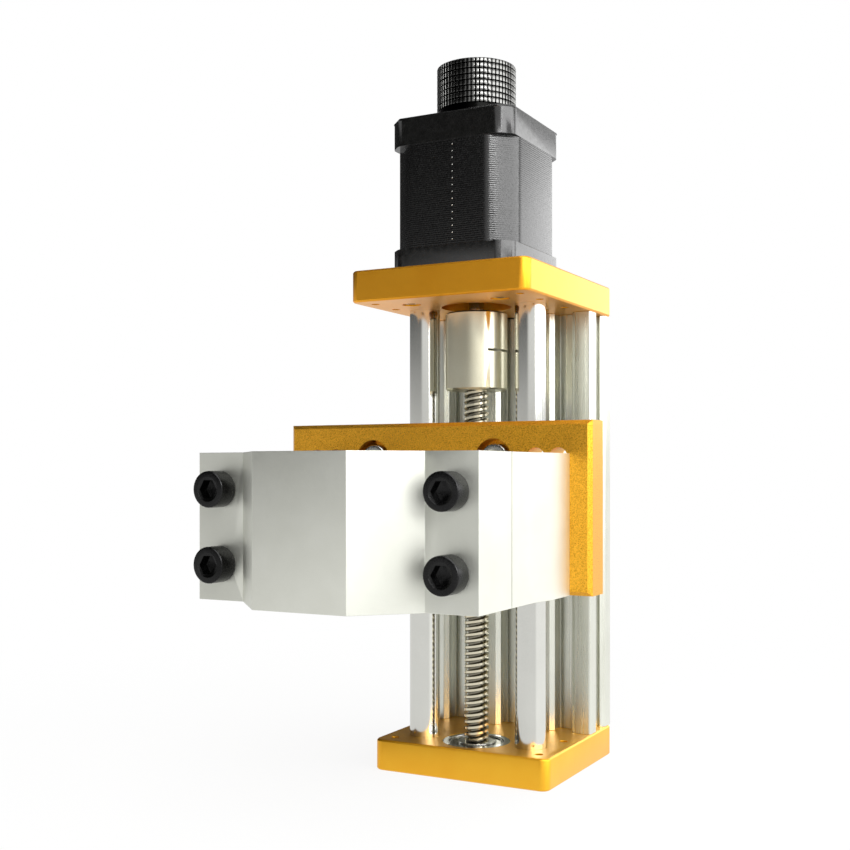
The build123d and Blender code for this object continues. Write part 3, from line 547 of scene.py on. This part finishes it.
def rounded(outline: Sequence[tuple[float, float]], radius: float,
            steps: int = 3) -> list[tuple[float, float]]:
    """Rounds the inner corners of an open outline.

    Args:
        outline: the points.
        radius: how far from a corner its round begins.
        steps: the number of pieces in a round.

    Returns:
        The new points.
    """
    points = [outline[0]]
    longest = 0.45
    for before, corner, after in zip(outline, outline[1:], outline[2:]):
        middle = Vector(corner)
        back, ahead = Vector(before) - middle, Vector(after) - middle
        start = middle + back.normalized() * min(radius, back.length * longest)
        end = middle + ahead.normalized() * min(radius, ahead.length * longest)
        for i in range(steps + 1):
            t = i / steps
            points.append(tuple((1 - t) ** 2 * start + 2 * t * (1 - t) * middle + t ** 2 * end))
    return points + [outline[-1]]


def aimed(point: Vector, direction: Vector) -> Matrix:
    """Gives the transform that takes the Z axis to a direction from a point.

    Args:
        point: where the axis starts.
        direction: where it points.

    Returns:
        The transform.
    """
    return Matrix.Translation(point) @ UP.rotation_difference(direction).to_matrix().to_4x4()


def copy_to(bm: BMesh, verts: Sequence[BMVert], matrices: Sequence[Matrix]) -> None:
    """Repeats a shape at several places and leaves it at the last one.

    Args:
        bm: the mesh.
        verts: the shape's vertices.
        matrices: one transform for each place.
    """
    faces = list({face for v in verts for face in v.link_faces})
    for matrix in matrices[:-1]:
        made = bmesh.ops.duplicate(bm, geom=faces)["geom"]
        fresh = [item for item in made if isinstance(item, BMVert)]
        bmesh.ops.transform(bm, matrix=matrix, verts=fresh)
    bmesh.ops.transform(bm, matrix=matrices[-1], verts=list(verts))


@dataclass(frozen=True)
class SocketScrew:
    """A socket head cap screw with a rounded head edge and a six-sided socket.

    Attributes:
        thread_mm: the thread's diameter.
        head_mm: the head's diameter.
        head_height_mm: the head's height.
        socket_mm: the distance across the socket's flats.
        length_mm: the length below the head.
        sides: the number of faces round the axis.
        socket_share: the socket's depth as a share of the head's height.
        round_share: the round of the head's edge as a share of the head's height.
    """

    thread_mm: float
    head_mm: float
    head_height_mm: float
    socket_mm: float
    length_mm: float
    sides: int = 36
    socket_share: float = 0.55
    round_share: float = 0.1

    def model(self, bm: BMesh) -> list[BMVert]:
        """Models the screw with its head standing on Z = 0 and its thread below.

        Args:
            bm: the mesh to add to.

        Returns:
            The new vertices.
        """
        head, tall = self.head_mm / 2 * MM, self.head_height_mm * MM
        bore, thread = self.socket_mm / 2 * MM, self.thread_mm / 2 * MM
        depth, tip = tall * self.socket_share, -self.length_mm * MM
        rim = rounded([(head * 0.96, 0.0), (head, tall * 0.04), (head, tall), (bore * 1.35, tall)],
                      tall * self.round_share)
        mouth = [(bore * 1.3, tall - tall * 0.015), (bore * 1.16, tall - tall * 0.05)]
        floor = [(bore * 1.1, tall - depth), (0.0, tall - depth * 1.25)]
        shank = [(0.0, tip), (thread * 0.8, tip), (thread, tip + thread * 0.3), (thread, 0.0)]
        made = lathe(bm, shank + rim + mouth + floor, self.sides)
        self.square_up(made, bore, tall - depth * 1.02)
        return made

    def square_up(self, verts: Sequence[BMVert], bore: float, low: float) -> None:
        """Pulls the socket's round wall to a hexagon.

        Args:
            verts: the screw's vertices.
            bore: half the distance across the flats.
            low: the level of the socket's floor.
        """
        widest, margin = bore * 1.2, 0.05 * MM
        sixth = math.pi / 3
        for vert in verts:
            radius = math.hypot(vert.co.x, vert.co.y)
            inside = 0 < radius < widest and low - margin < vert.co.z
            if inside:
                turn = math.atan2(vert.co.y, vert.co.x) % sixth - sixth / 2
                wall = bore / math.cos(turn)
                share = wall / radius
                vert.co.x *= share
                vert.co.y *= share


def add_cap_screws(node: str, screw: SocketScrew, name: str, finish: Finish) -> None:
    """Replaces the four cap screws of a node, whose heads face the front, by detailed ones.

    Args:
        node: the node's name.
        screw: the screw.
        name: the new piece's name.
        finish: its surface.
    """
    low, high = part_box(node)
    radius = screw.head_mm / 2 * MM
    seat = low.y + screw.head_height_mm * MM
    places = [Vector((x, seat, z)) for x in (low.x + radius, high.x - radius)
              for z in (low.z + radius, high.z - radius)]
    bm = bmesh.new()
    made = screw.model(bm)
    copy_to(bm, made, [aimed(place, FRONT) for place in places])
    add_piece(name, bm, Body.CARRIAGE, finish, (node,))


@dataclass
class Frame:
    """The end plates, the slotted profile, the rods and the foot bearing."""

    rod_sides: int = 96
    rod_edge_mm: float = 0.6
    rod_tap_share: float = 0.41
    rod_tap_depth_mm: float = 9.0
    shield_step_mm: float = 0.35
    shield_rim_mm: float = 0.5
    shield_outer_gap_mm: float = 0.05
    shield_inner_gap_mm: float = 0.15

    def build(self) -> None:
        """Builds the pieces that need more than a surface."""
        for node in ("guide_rod_left", "guide_rod_right"):
            self.build_rod(node)
        self.build_shields()

    def build_shields(self) -> None:
        """Presses the foot bearing's two shields, each with a sunk web between two rims."""
        low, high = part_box("foot_bearing_shields")
        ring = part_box("foot_bearing_inner_ring")[1]
        outside, inside = high.x - self.shield_outer_gap_mm * MM, ring.x + self.shield_inner_gap_mm * MM
        rim = self.shield_rim_mm * MM
        bm = bmesh.new()
        for level, inward in ((high.z, -1), (low.z, 1)):
            step = inward * self.shield_step_mm * MM
            lip, web = level + step * 1.4, level + step
            lathe(bm, [(inside, lip), (inside + rim * 0.6, lip), (inside + rim, web),
                       (outside - rim * 1.6, web), (outside - rim, level), (outside - rim * 0.3, level),
                       (outside, level + step * 0.6), (outside, level + step * 1.6),
                       (inside, level + step * 1.7)], self.rod_sides, closed=True)
        add_piece("foot_bearing_shields_pressed", bm, Body.FRAME, PRESSED_STEEL,
                  ("foot_bearing_shields",))

    def build_rod(self, node: str) -> None:
        """Turns one guide rod with its chamfers and tapped ends.

        Args:
            node: the rod's node.
        """
        low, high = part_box(node)
        radius = (high.x - low.x) / 2
        edge, tap = self.rod_edge_mm * MM, radius * self.rod_tap_share
        deep = self.rod_tap_depth_mm * MM
        bm = bmesh.new()
        made = lathe(bm, [(0.0, low.z + deep), (tap, low.z + deep), (tap, low.z), (radius - edge, low.z),
                          (radius, low.z + edge), (radius, high.z - edge), (radius - edge, high.z),
                          (tap, high.z), (tap, high.z - deep), (0.0, high.z - deep)], self.rod_sides)
        bmesh.ops.translate(bm, vec=((low.x + high.x) / 2, (low.y + high.y) / 2, 0.0), verts=made)
        add_piece(f"{node}_ground", bm, Body.FRAME, HARD_CHROME, (node,))

    def dress(self) -> None:
        """Gives every piece of the frame its surface."""
        # The bottom plate's lighter gold is painted floor light.
        refine("bottom_plate", Body.FRAME, GOLD_PAINTED_FLOOR_LIGHT, edge_mm=0.15)
        refine("top_plate", Body.FRAME, GOLD_ANODISED, edge_mm=0.15)
        refine("rear_profile", Body.FRAME, EXTRUDED, edge_mm=0.25, angle=25.0)
        for node in ("rod_end_screws", "profile_end_screws"):
            paint(node, ZINC_PLATED)
        for node in ("foot_bearing_outer_ring", "foot_bearing_inner_ring"):
            refine(node, Body.FRAME, GROUND_STEEL, edge_mm=0.4)
        paint("foot_bearing_balls", GROUND_STEEL)


@dataclass
class Motor:
    """The stepper motor's casing, windings, rotor and socket."""

    cap_round_mm: float = 1.3
    cap_edge_mm: float = 0.7
    stack_round_mm: float = 2.2
    dot_count: int = 15
    dot_mm: float = 0.42
    dot_flatness: float = 0.5
    dot_x_mm: float = 1.8
    dot_inset_mm: float = 1.6

    def build(self) -> None:
        """Builds the row of weld dots on the front of the stack."""
        low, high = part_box("stator_laminations")
        inset = self.dot_inset_mm * MM
        step = (high.z - low.z - 2 * inset) / (self.dot_count - 1)
        radius = self.dot_mm / 2 * MM
        bm = bmesh.new()
        made = bmesh.ops.create_icosphere(bm, subdivisions=2, radius=radius)["verts"]
        bmesh.ops.scale(bm, vec=(1.0, self.dot_flatness, 1.0), verts=made)
        start = Vector((self.dot_x_mm * MM, low.y, low.z + inset))
        copy_to(bm, made, [Matrix.Translation(start + UP * step * i) for i in range(self.dot_count)])
        add_piece("stack_weld_dots", bm, Body.FRAME, ZINC_PLATED)

    def dress(self) -> None:
        """Gives every piece of the motor its surface."""
        for node in ("motor_front_cap", "motor_rear_cap"):
            refine(node, Body.FRAME, BLACK_ALLOY, edge_mm=self.cap_edge_mm,
                   upright_mm=self.cap_round_mm)
        refine("stator_laminations", Body.FRAME, LAMINATED_STEEL, edge_mm=0.1,
               upright_mm=self.stack_round_mm)
        surfaces = {
            "stator_coils": COPPER_WINDING, "rotor_stacks": LAMINATED_STEEL, "rotor_magnet": SINTERED_MAGNET,
            "motor_shaft": GROUND_STEEL, "motor_bearing_outer_rings": GROUND_STEEL,
            "motor_bearing_inner_rings": GROUND_STEEL, "motor_bearing_balls": GROUND_STEEL,
            "motor_bearing_shields": ZINC_PLATED, "spring_washer": ZINC_PLATED,
            "motor_through_screws": BLACK_OXIDE, "motor_mount_screws": ZINC_PLATED,
            "motor_socket_pins": PLATED_BRASS,
        }
        for node, finish in surfaces.items():
            paint(node, finish)
        refine("motor_socket", Body.FRAME, WHITE_NYLON, edge_mm=0.15)


@dataclass
class Drive:
    """The lead screw, the coupling and the hand knob."""

    pitch_mm: float = 2.0
    starts: int = 2
    thread_depth_mm: float = 1.25
    thread_steps: int = 48
    crest_share: float = 0.36
    root_share: float = 0.24
    knurl_columns: int = 60
    knurl_rows: int = 8
    knurl_pitch_mm: float = 1.8
    knurl_depth_mm: float = 0.5
    knurl_slope_mm: float = 0.22
    crown_depth_mm: float = 0.04
    crown_slope_mm: float = 0.15
    knob_edge_mm: float = 0.6
    knob_hollow_mm: float = 0.3
    knob_hollow_share: float = 0.62
    knob_hollow_floor_share: float = 0.58
    knob_bore_gap_mm: float = 0.02

    def build(self) -> None:
        """Builds the threaded screw and the knurled knob."""
        self.build_screw()
        self.build_knob()

    def build_screw(self) -> None:
        """Winds the thread's outline up the screw and trims it to length."""
        low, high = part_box("lead_screw")
        crest, pitch = high.x, self.pitch_mm * MM
        root = crest - self.thread_depth_mm * MM
        lead = pitch * self.starts
        flank = (1 - self.crest_share - self.root_share) / 2
        marks = ((0.0, root), (self.root_share, root), (self.root_share + flank, crest),
                 (self.root_share + flank + self.crest_share, crest))
        count = math.ceil((high.z - low.z + 2 * lead) / pitch)
        outline = [(radius, low.z - lead + pitch * (i + share))
                   for i in range(count) for share, radius in marks]
        bm = bmesh.new()
        line = [bm.verts.new((radius, 0.0, height)) for radius, height in outline]
        edges = [bm.edges.new(pair) for pair in zip(line, line[1:])]
        bmesh.ops.spin(bm, geom=line + edges, cent=(0, 0, 0), axis=UP, dvec=UP * (lead / self.thread_steps),
                       angle=math.tau, steps=self.thread_steps)
        bmesh.ops.remove_doubles(bm, verts=bm.verts, dist=0.002 * MM)
        for level, outward in ((high.z, UP), (low.z, -UP)):
            geom = bm.verts[:] + bm.edges[:] + bm.faces[:]
            bmesh.ops.bisect_plane(bm, geom=geom, plane_co=(0, 0, level), plane_no=outward, clear_outer=True)
            rim = [edge for edge in bm.edges if edge.is_boundary
                   and all(abs(v.co.z - level) < 0.001 * MM for v in edge.verts)]
            bmesh.ops.edgeloop_fill(bm, edges=rim)
        bmesh.ops.recalc_face_normals(bm, faces=bm.faces)
        # Painted shade: the colour darkens from the thread's crests down to its roots.
        root_shaded_steel = replace(ROLLED_STEEL, groove_mm=root / MM, crest_mm=crest / MM)
        add_piece("lead_screw_threaded", bm, Body.DRIVE, root_shaded_steel, ("lead_screw",))

    def build_knob(self) -> None:
        """Turns the knob's blank, then raises a pad with sloping sides on every face of its knurl."""
        low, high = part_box("hand_knob")
        shaft_low, shaft_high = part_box("motor_shaft")
        rim = high.x
        depth, crown = self.knurl_depth_mm * MM, self.crown_depth_mm * MM
        edge = self.knob_edge_mm * MM
        base = rim - depth - crown
        bore = (shaft_high.x - shaft_low.x) / 2 + self.knob_bore_gap_mm * MM
        pitch, slope = self.knurl_pitch_mm * MM, self.knurl_slope_mm * MM
        levels = [high.z + slope - pitch * (self.knurl_rows - row) for row in range(self.knurl_rows)]
        hollow = high.z - self.knob_hollow_mm * MM
        foot = [(0.0, shaft_high.z), (bore, shaft_high.z), (bore, low.z), (base - edge, low.z),
                (base, low.z + edge * 0.8)]
        rows = [(base, level) for level in levels]
        top = [(base, high.z), (base * self.knob_hollow_share, high.z),
               (base * self.knob_hollow_floor_share, hollow), (0.0, hollow)]
        bm = bmesh.new()
        lathe(bm, foot + rows + top, self.knurl_columns)
        pads = [face for face in bm.faces if self.is_pad(face, levels[0], base)]
        bmesh.ops.inset_individual(bm, faces=pads, thickness=slope, depth=depth, use_even_offset=True)
        bmesh.ops.inset_individual(bm, faces=pads, thickness=self.crown_slope_mm * MM, depth=crown,
                                   use_even_offset=True)
        bmesh.ops.recalc_face_normals(bm, faces=bm.faces)
        # Painted shade: the colour darkens from the pads' crowns down into the knurl's grooves.
        knurl_shaded = replace(BLACK_ANODISED, groove_mm=rim / MM - 4 * self.crown_depth_mm,
                       crest_mm=rim / MM - self.crown_depth_mm)
        add_piece("hand_knob_knurled", bm, Body.DRIVE, knurl_shaded, ("hand_knob",))

    def is_pad(self, face: BMFace, lowest: float, base: float) -> bool:
        """Tells whether a face of the blank becomes a raised pad.

        Args:
            face: the face.
            lowest: the lower edge of the lowest row.
            base: the blank's radius.

        Returns:
            Whether it is on the rim and in a row.
        """
        middle = face.calc_center_median()
        on_rim = math.hypot(middle.x, middle.y) > base * 0.98 and abs(face.normal.z) < 0.5
        return on_rim and middle.z > lowest

    def dress(self) -> None:
        """Gives the coupling and the small screws their surfaces."""
        refine("shaft_coupling", Body.DRIVE, TURNED_ALUMINIUM, edge_mm=0.1, angle=50.0)
        paint("coupling_screws", BLACK_OXIDE)
        paint("knob_set_screw", BLACK_OXIDE)


@dataclass
class Carriage:
    """The carriage plate, the bearing block, the linear bearings and the nut."""

    plate_chamfer_mm: float = 0.9
    screw: SocketScrew = SocketScrew(thread_mm=5.0, head_mm=8.5, head_height_mm=5.0, socket_mm=4.0,
                                     length_mm=14.0)

    def build(self) -> None:
        """Builds the chamfered plate and its bright screws."""
        self.build_plate()
        add_cap_screws("carriage_plate_screws", self.screw, "carriage_plate_screws_cut", ZINC_PLATED)

    def build_plate(self) -> None:
        """Chamfers the outline of the plate's front."""
        low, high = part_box("carriage_plate")
        near = 0.01 * MM
        bm = merged_copy("carriage_plate")
        outline = []
        for edge in bm.edges:
            first, second = (v.co for v in edge.verts)
            in_front = max(first.y, second.y) < low.y + near
            at_side = abs(abs(first.x) - high.x) < near and abs(first.x - second.x) < near
            end_gap = min(abs(first.z - low.z), abs(first.z - high.z))
            at_end = end_gap < near and abs(first.z - second.z) < near
            if in_front and (at_side or at_end):
                outline.append(edge)
        bmesh.ops.bevel(bm, geom=outline, offset=self.plate_chamfer_mm * MM, segments=1, affect="EDGES",
                        material=-1, clamp_overlap=True)
        add_piece("carriage_plate_chamfered", bm, Body.CARRIAGE, GOLD_COARSE,
                  ("carriage_plate",))

    def dress(self) -> None:
        """Gives every piece of the carriage its surface."""
        refine("bearing_block", Body.CARRIAGE, CLEAR_ANODISED, edge_mm=0.2)
        refine("lead_nut", Body.CARRIAGE, TURNED_BRASS, edge_mm=0.15)
        surfaces = {
            "circlips": BLACK_OXIDE, "linear_sleeves": GROUND_STEEL, "linear_retainers": WHITE_NYLON,
            "linear_balls": GROUND_STEEL, "linear_seals": BLACK_NITRILE, "nut_screws": ZINC_PLATED,
        }
        for node, finish in surfaces.items():
            paint(node, finish)


@dataclass
class Clamp:
    """The two halves of the spindle clamp and their bolts."""

    bolt: SocketScrew = SocketScrew(thread_mm=6.0, head_mm=10.0, head_height_mm=6.0, socket_mm=5.0,
                                    length_mm=40.0)

    def build(self) -> None:
        """Builds the four black bolts."""
        add_cap_screws("clamp_bolts", self.bolt, "clamp_bolts_black", BLACK_OXIDE)

    def dress(self) -> None:
        """Gives the clamp's halves and fixing screws their surfaces."""
        for node in ("clamp_base", "clamp_cap"):
            refine(node, Body.CARRIAGE, CLEAR_ANODISED, edge_mm=0.25)
        paint("clamp_fixing_screws", ZINC_PLATED)


@dataclass(frozen=True)
class Panel:
    """A soft light panel that faces the object.

    Attributes:
        name: the light's name.
        place: where its middle is.
        width: its width.
        height: its height.
        brightness: how bright its face looks, where 1 is white paper.
    """

    name: str
    place: tuple[float, float, float]
    width: float
    height: float
    brightness: float


PANELS = (
    Panel("panel_right_front", (0.72, -0.77, 0.60), 0.60, 0.20, 11.0),
    Panel("panel_right", (1.05, -0.04, 0.42), 1.25, 0.46, 3.9),
    Panel("panel_right_back", (0.56, 1.06, 0.36), 1.15, 0.32, 2.0),
    Panel("panel_above", (0.25, -0.45, 1.20), 0.90, 0.90, 3.0),
)


@dataclass(frozen=True)
class PaleSide:
    """A side on which the surroundings are pale.

    Attributes:
        degrees: its compass direction, counted from +X towards +Y.
        limits: the cosines from that direction between which the level rises.
        dim: the level on the other side.
    """

    degrees: float
    limits: tuple[float, float]
    dim: float


@dataclass
class Studio:
    """The camera, the lights, the world and the floor.

    Attributes:
        sensor_mm: the width of the camera's sensor.
        focal_px: the photograph's focal length.
        picture_px: the photograph's width.
        horizon_px: the height of the horizon in the photograph, from its top.
        turn_degrees: how far the camera is turned to the left of +Y.
        place: where the camera is.
        target: the point that the panels face.
        low_side: the pale side at the floor.
        high_side: the pale side higher up.
        rise: the height of a unit direction from which high_side holds.
        pale: the level of both pale sides.
        floor_colour: the floor's colour, as sRGB hex.
        floor_radius: the floor's radius.
        floor_glow: how much of the floor near the object is seen without its shadow.
        floor_lift: how much brighter than the surroundings the floor looks in mirrors.
        shadow_near: the distance from which the shadow fades.
        shadow_reach: the distance at which it is gone.
    """

    sensor_mm: float = 36.0
    focal_px: float = 1194.6
    picture_px: float = 850.0
    horizon_px: float = 470.9
    turn_degrees: float = 28.2
    place: tuple[float, float, float] = (0.16866, -0.34997, 0.09748)
    target: tuple[float, float, float] = (0.0, -0.02, 0.11)
    low_side: PaleSide = PaleSide(28.0, (0.45, 0.68), 0.7)
    high_side: PaleSide = PaleSide(10.0, (-0.3, 0.1), 0.04)
    rise: float = 0.17
    pale: float = 0.9
    floor_colour: str = "F4F4F2"
    floor_radius: float = 6.0
    floor_glow: float = 0.9
    floor_lift: float = 1.2
    shadow_near: float = 0.05
    shadow_reach: float = 0.35

    def camera(self) -> None:
        """Sets up the camera at the photograph's place."""
        data = bpy.data.cameras.new("camera")
        data.sensor_width = self.sensor_mm
        data.lens = self.focal_px / self.picture_px * data.sensor_width
        data.shift_y = (self.horizon_px - self.picture_px / 2) / self.picture_px
        data.clip_start, data.clip_end = 0.01, 20.0
        item = bpy.data.objects.new("camera", data)
        item.location = self.place
        item.rotation_euler = (math.pi / 2, 0.0, math.radians(self.turn_degrees))
        bpy.context.scene.collection.objects.link(item)
        bpy.context.scene.camera = item

    def light(self, panel: Panel) -> None:
        """Adds a light.

        Args:
            panel: the light.
        """
        data = bpy.data.lights.new(panel.name, "AREA")
        data.shape = "RECTANGLE"
        data.size, data.size_y = panel.width, panel.height
        data.energy = panel.brightness * math.pi * panel.width * panel.height
        item = bpy.data.objects.new(panel.name, data)
        item.location = panel.place
        aim = Vector(self.target) - Vector(panel.place)
        item.rotation_euler = aim.to_track_quat("-Z", "Y").to_euler()
        bpy.context.scene.collection.objects.link(item)

    def surroundings(self, tree: NodeTree, ahead: NodeSocket) -> NodeSocket:
        """Makes the brightness that mirrors see, which is pale to the right and dark above the left.

        Args:
            tree: the nodes to add to.
            ahead: the direction looked in.

        Returns:
            The socket with the brightness.
        """
        low, high = (self.towards(tree, ahead, side) for side in (self.low_side, self.high_side))
        split = add_node(tree, "ShaderNodeSeparateXYZ", None, {"Vector": ahead})
        rise = add_node(tree, "ShaderNodeMapRange",
                        {"interpolation_type": "SMOOTHSTEP", "From Min": 0.0, "From Max": self.rise},
                        {"Value": split.outputs["Z"]})
        level = add_node(tree, "ShaderNodeMix", {"data_type": "FLOAT"},
                         {0: rise.outputs["Result"], 2: low, 3: high})
        return level.outputs[0]

    def towards(self, tree: NodeTree, ahead: NodeSocket, side: PaleSide) -> NodeSocket:
        """Makes a level that rises smoothly towards a pale side.

        Args:
            tree: the nodes to add to.
            ahead: the direction looked in.
            side: the pale side.

        Returns:
            The socket with the level.
        """
        aim = (math.cos(math.radians(side.degrees)), math.sin(math.radians(side.degrees)), 0.0)
        share = add_node(tree, "ShaderNodeVectorMath", {"operation": "DOT_PRODUCT", 1: aim}, {0: ahead})
        level = add_node(tree, "ShaderNodeMapRange",
                         {"interpolation_type": "SMOOTHSTEP", "From Min": side.limits[0],
                          "From Max": side.limits[1], "To Min": side.dim, "To Max": self.pale},
                         {"Value": share.outputs["Value"]})
        return level.outputs["Result"]

    def world(self) -> None:
        """Shows white to the camera and the surroundings to everything else."""
        made = bpy.data.worlds.new("surroundings")
        bpy.context.scene.world = made
        made.use_nodes = True
        tree = made.node_tree
        backdrop = tree.nodes["Background"]
        ahead = add_node(tree, "ShaderNodeTexCoord").outputs["Generated"]
        path = add_node(tree, "ShaderNodeLightPath")
        seen = add_node(tree, "ShaderNodeMix", {"data_type": "FLOAT", 3: 1.0},
                        {0: path.outputs["Is Camera Ray"], 2: self.surroundings(tree, ahead)})
        tree.links.new(seen.outputs[0], backdrop.inputs["Strength"])
        backdrop.inputs["Color"].default_value = WHITE

    def floor(self) -> None:
        """Lays a wide white floor that shows only a faint shadow near the object."""
        bm = bmesh.new()
        bmesh.ops.create_circle(bm, cap_ends=True, segments=96, radius=self.floor_radius)
        mesh = bpy.data.meshes.new("floor")
        bm.to_mesh(mesh)
        bm.free()
        item = bpy.data.objects.new("floor", mesh)
        bpy.context.scene.collection.objects.link(item)
        made = bpy.data.materials.new("floor_paper")
        made.use_nodes = True
        tree = made.node_tree
        shader = tree.nodes["Principled BSDF"]
        shader.inputs["Base Color"].default_value = linear(self.floor_colour)
        shader.inputs["Roughness"].default_value = 0.9
        path = add_node(tree, "ShaderNodeLightPath")
        back = add_node(tree, "ShaderNodeNewGeometry").outputs["Incoming"]
        ahead = add_node(tree, "ShaderNodeVectorMath", {"operation": "SCALE", "Scale": -1.0}, {0: back})
        mirrored = add_node(tree, "ShaderNodeMath", {"operation": "MULTIPLY", 1: self.floor_lift},
                            {0: self.surroundings(tree, ahead.outputs["Vector"])})
        level = add_node(tree, "ShaderNodeMix", {"data_type": "FLOAT", 3: 1.0},
                         {0: path.outputs["Is Camera Ray"], 2: mirrored.outputs["Value"]})
        glow = add_node(tree, "ShaderNodeEmission", None, {"Strength": level.outputs[0]})
        place = add_node(tree, "ShaderNodeTexCoord")
        far = add_node(tree, "ShaderNodeVectorMath", {"operation": "LENGTH"}, {0: place.outputs["Object"]})
        fade = add_node(tree, "ShaderNodeMapRange",
                        {"interpolation_type": "SMOOTHSTEP", "From Min": self.shadow_near,
                         "From Max": self.shadow_reach, "To Min": self.floor_glow, "To Max": 1.0},
                        {"Value": far.outputs["Value"]})
        seen = add_node(tree, "ShaderNodeMath", {"operation": "MAXIMUM"},
                        {0: path.outputs["Is Camera Ray"], 1: path.outputs["Is Glossy Ray"]})
        share = add_node(tree, "ShaderNodeMath", {"operation": "MULTIPLY"},
                         {0: seen.outputs["Value"], 1: fade.outputs["Result"]})
        mixed = add_node(tree, "ShaderNodeMixShader", None,
                         {0: share.outputs["Value"], 1: shader.outputs["BSDF"], 2: glow.outputs["Emission"]})
        tree.links.new(mixed.outputs["Shader"], tree.nodes["Material Output"].inputs["Surface"])
        mesh.materials.append(made)

    def build(self) -> None:
        """Sets up the whole studio."""
        bpy.context.scene.view_settings.view_transform = "Standard"
        self.camera()
        for panel in PANELS:
            self.light(panel)
        self.world()
        self.floor()


def main() -> None:
    """Builds and dresses the sub-assemblies in order, then the studio."""
    for part in (Frame(), Motor(), Drive(), Carriage(), Clamp()):
        part.build()
        part.dress()
        log.info("%s done", type(part).__name__)
    Studio().build()


if __name__ == "__main__":
    main()
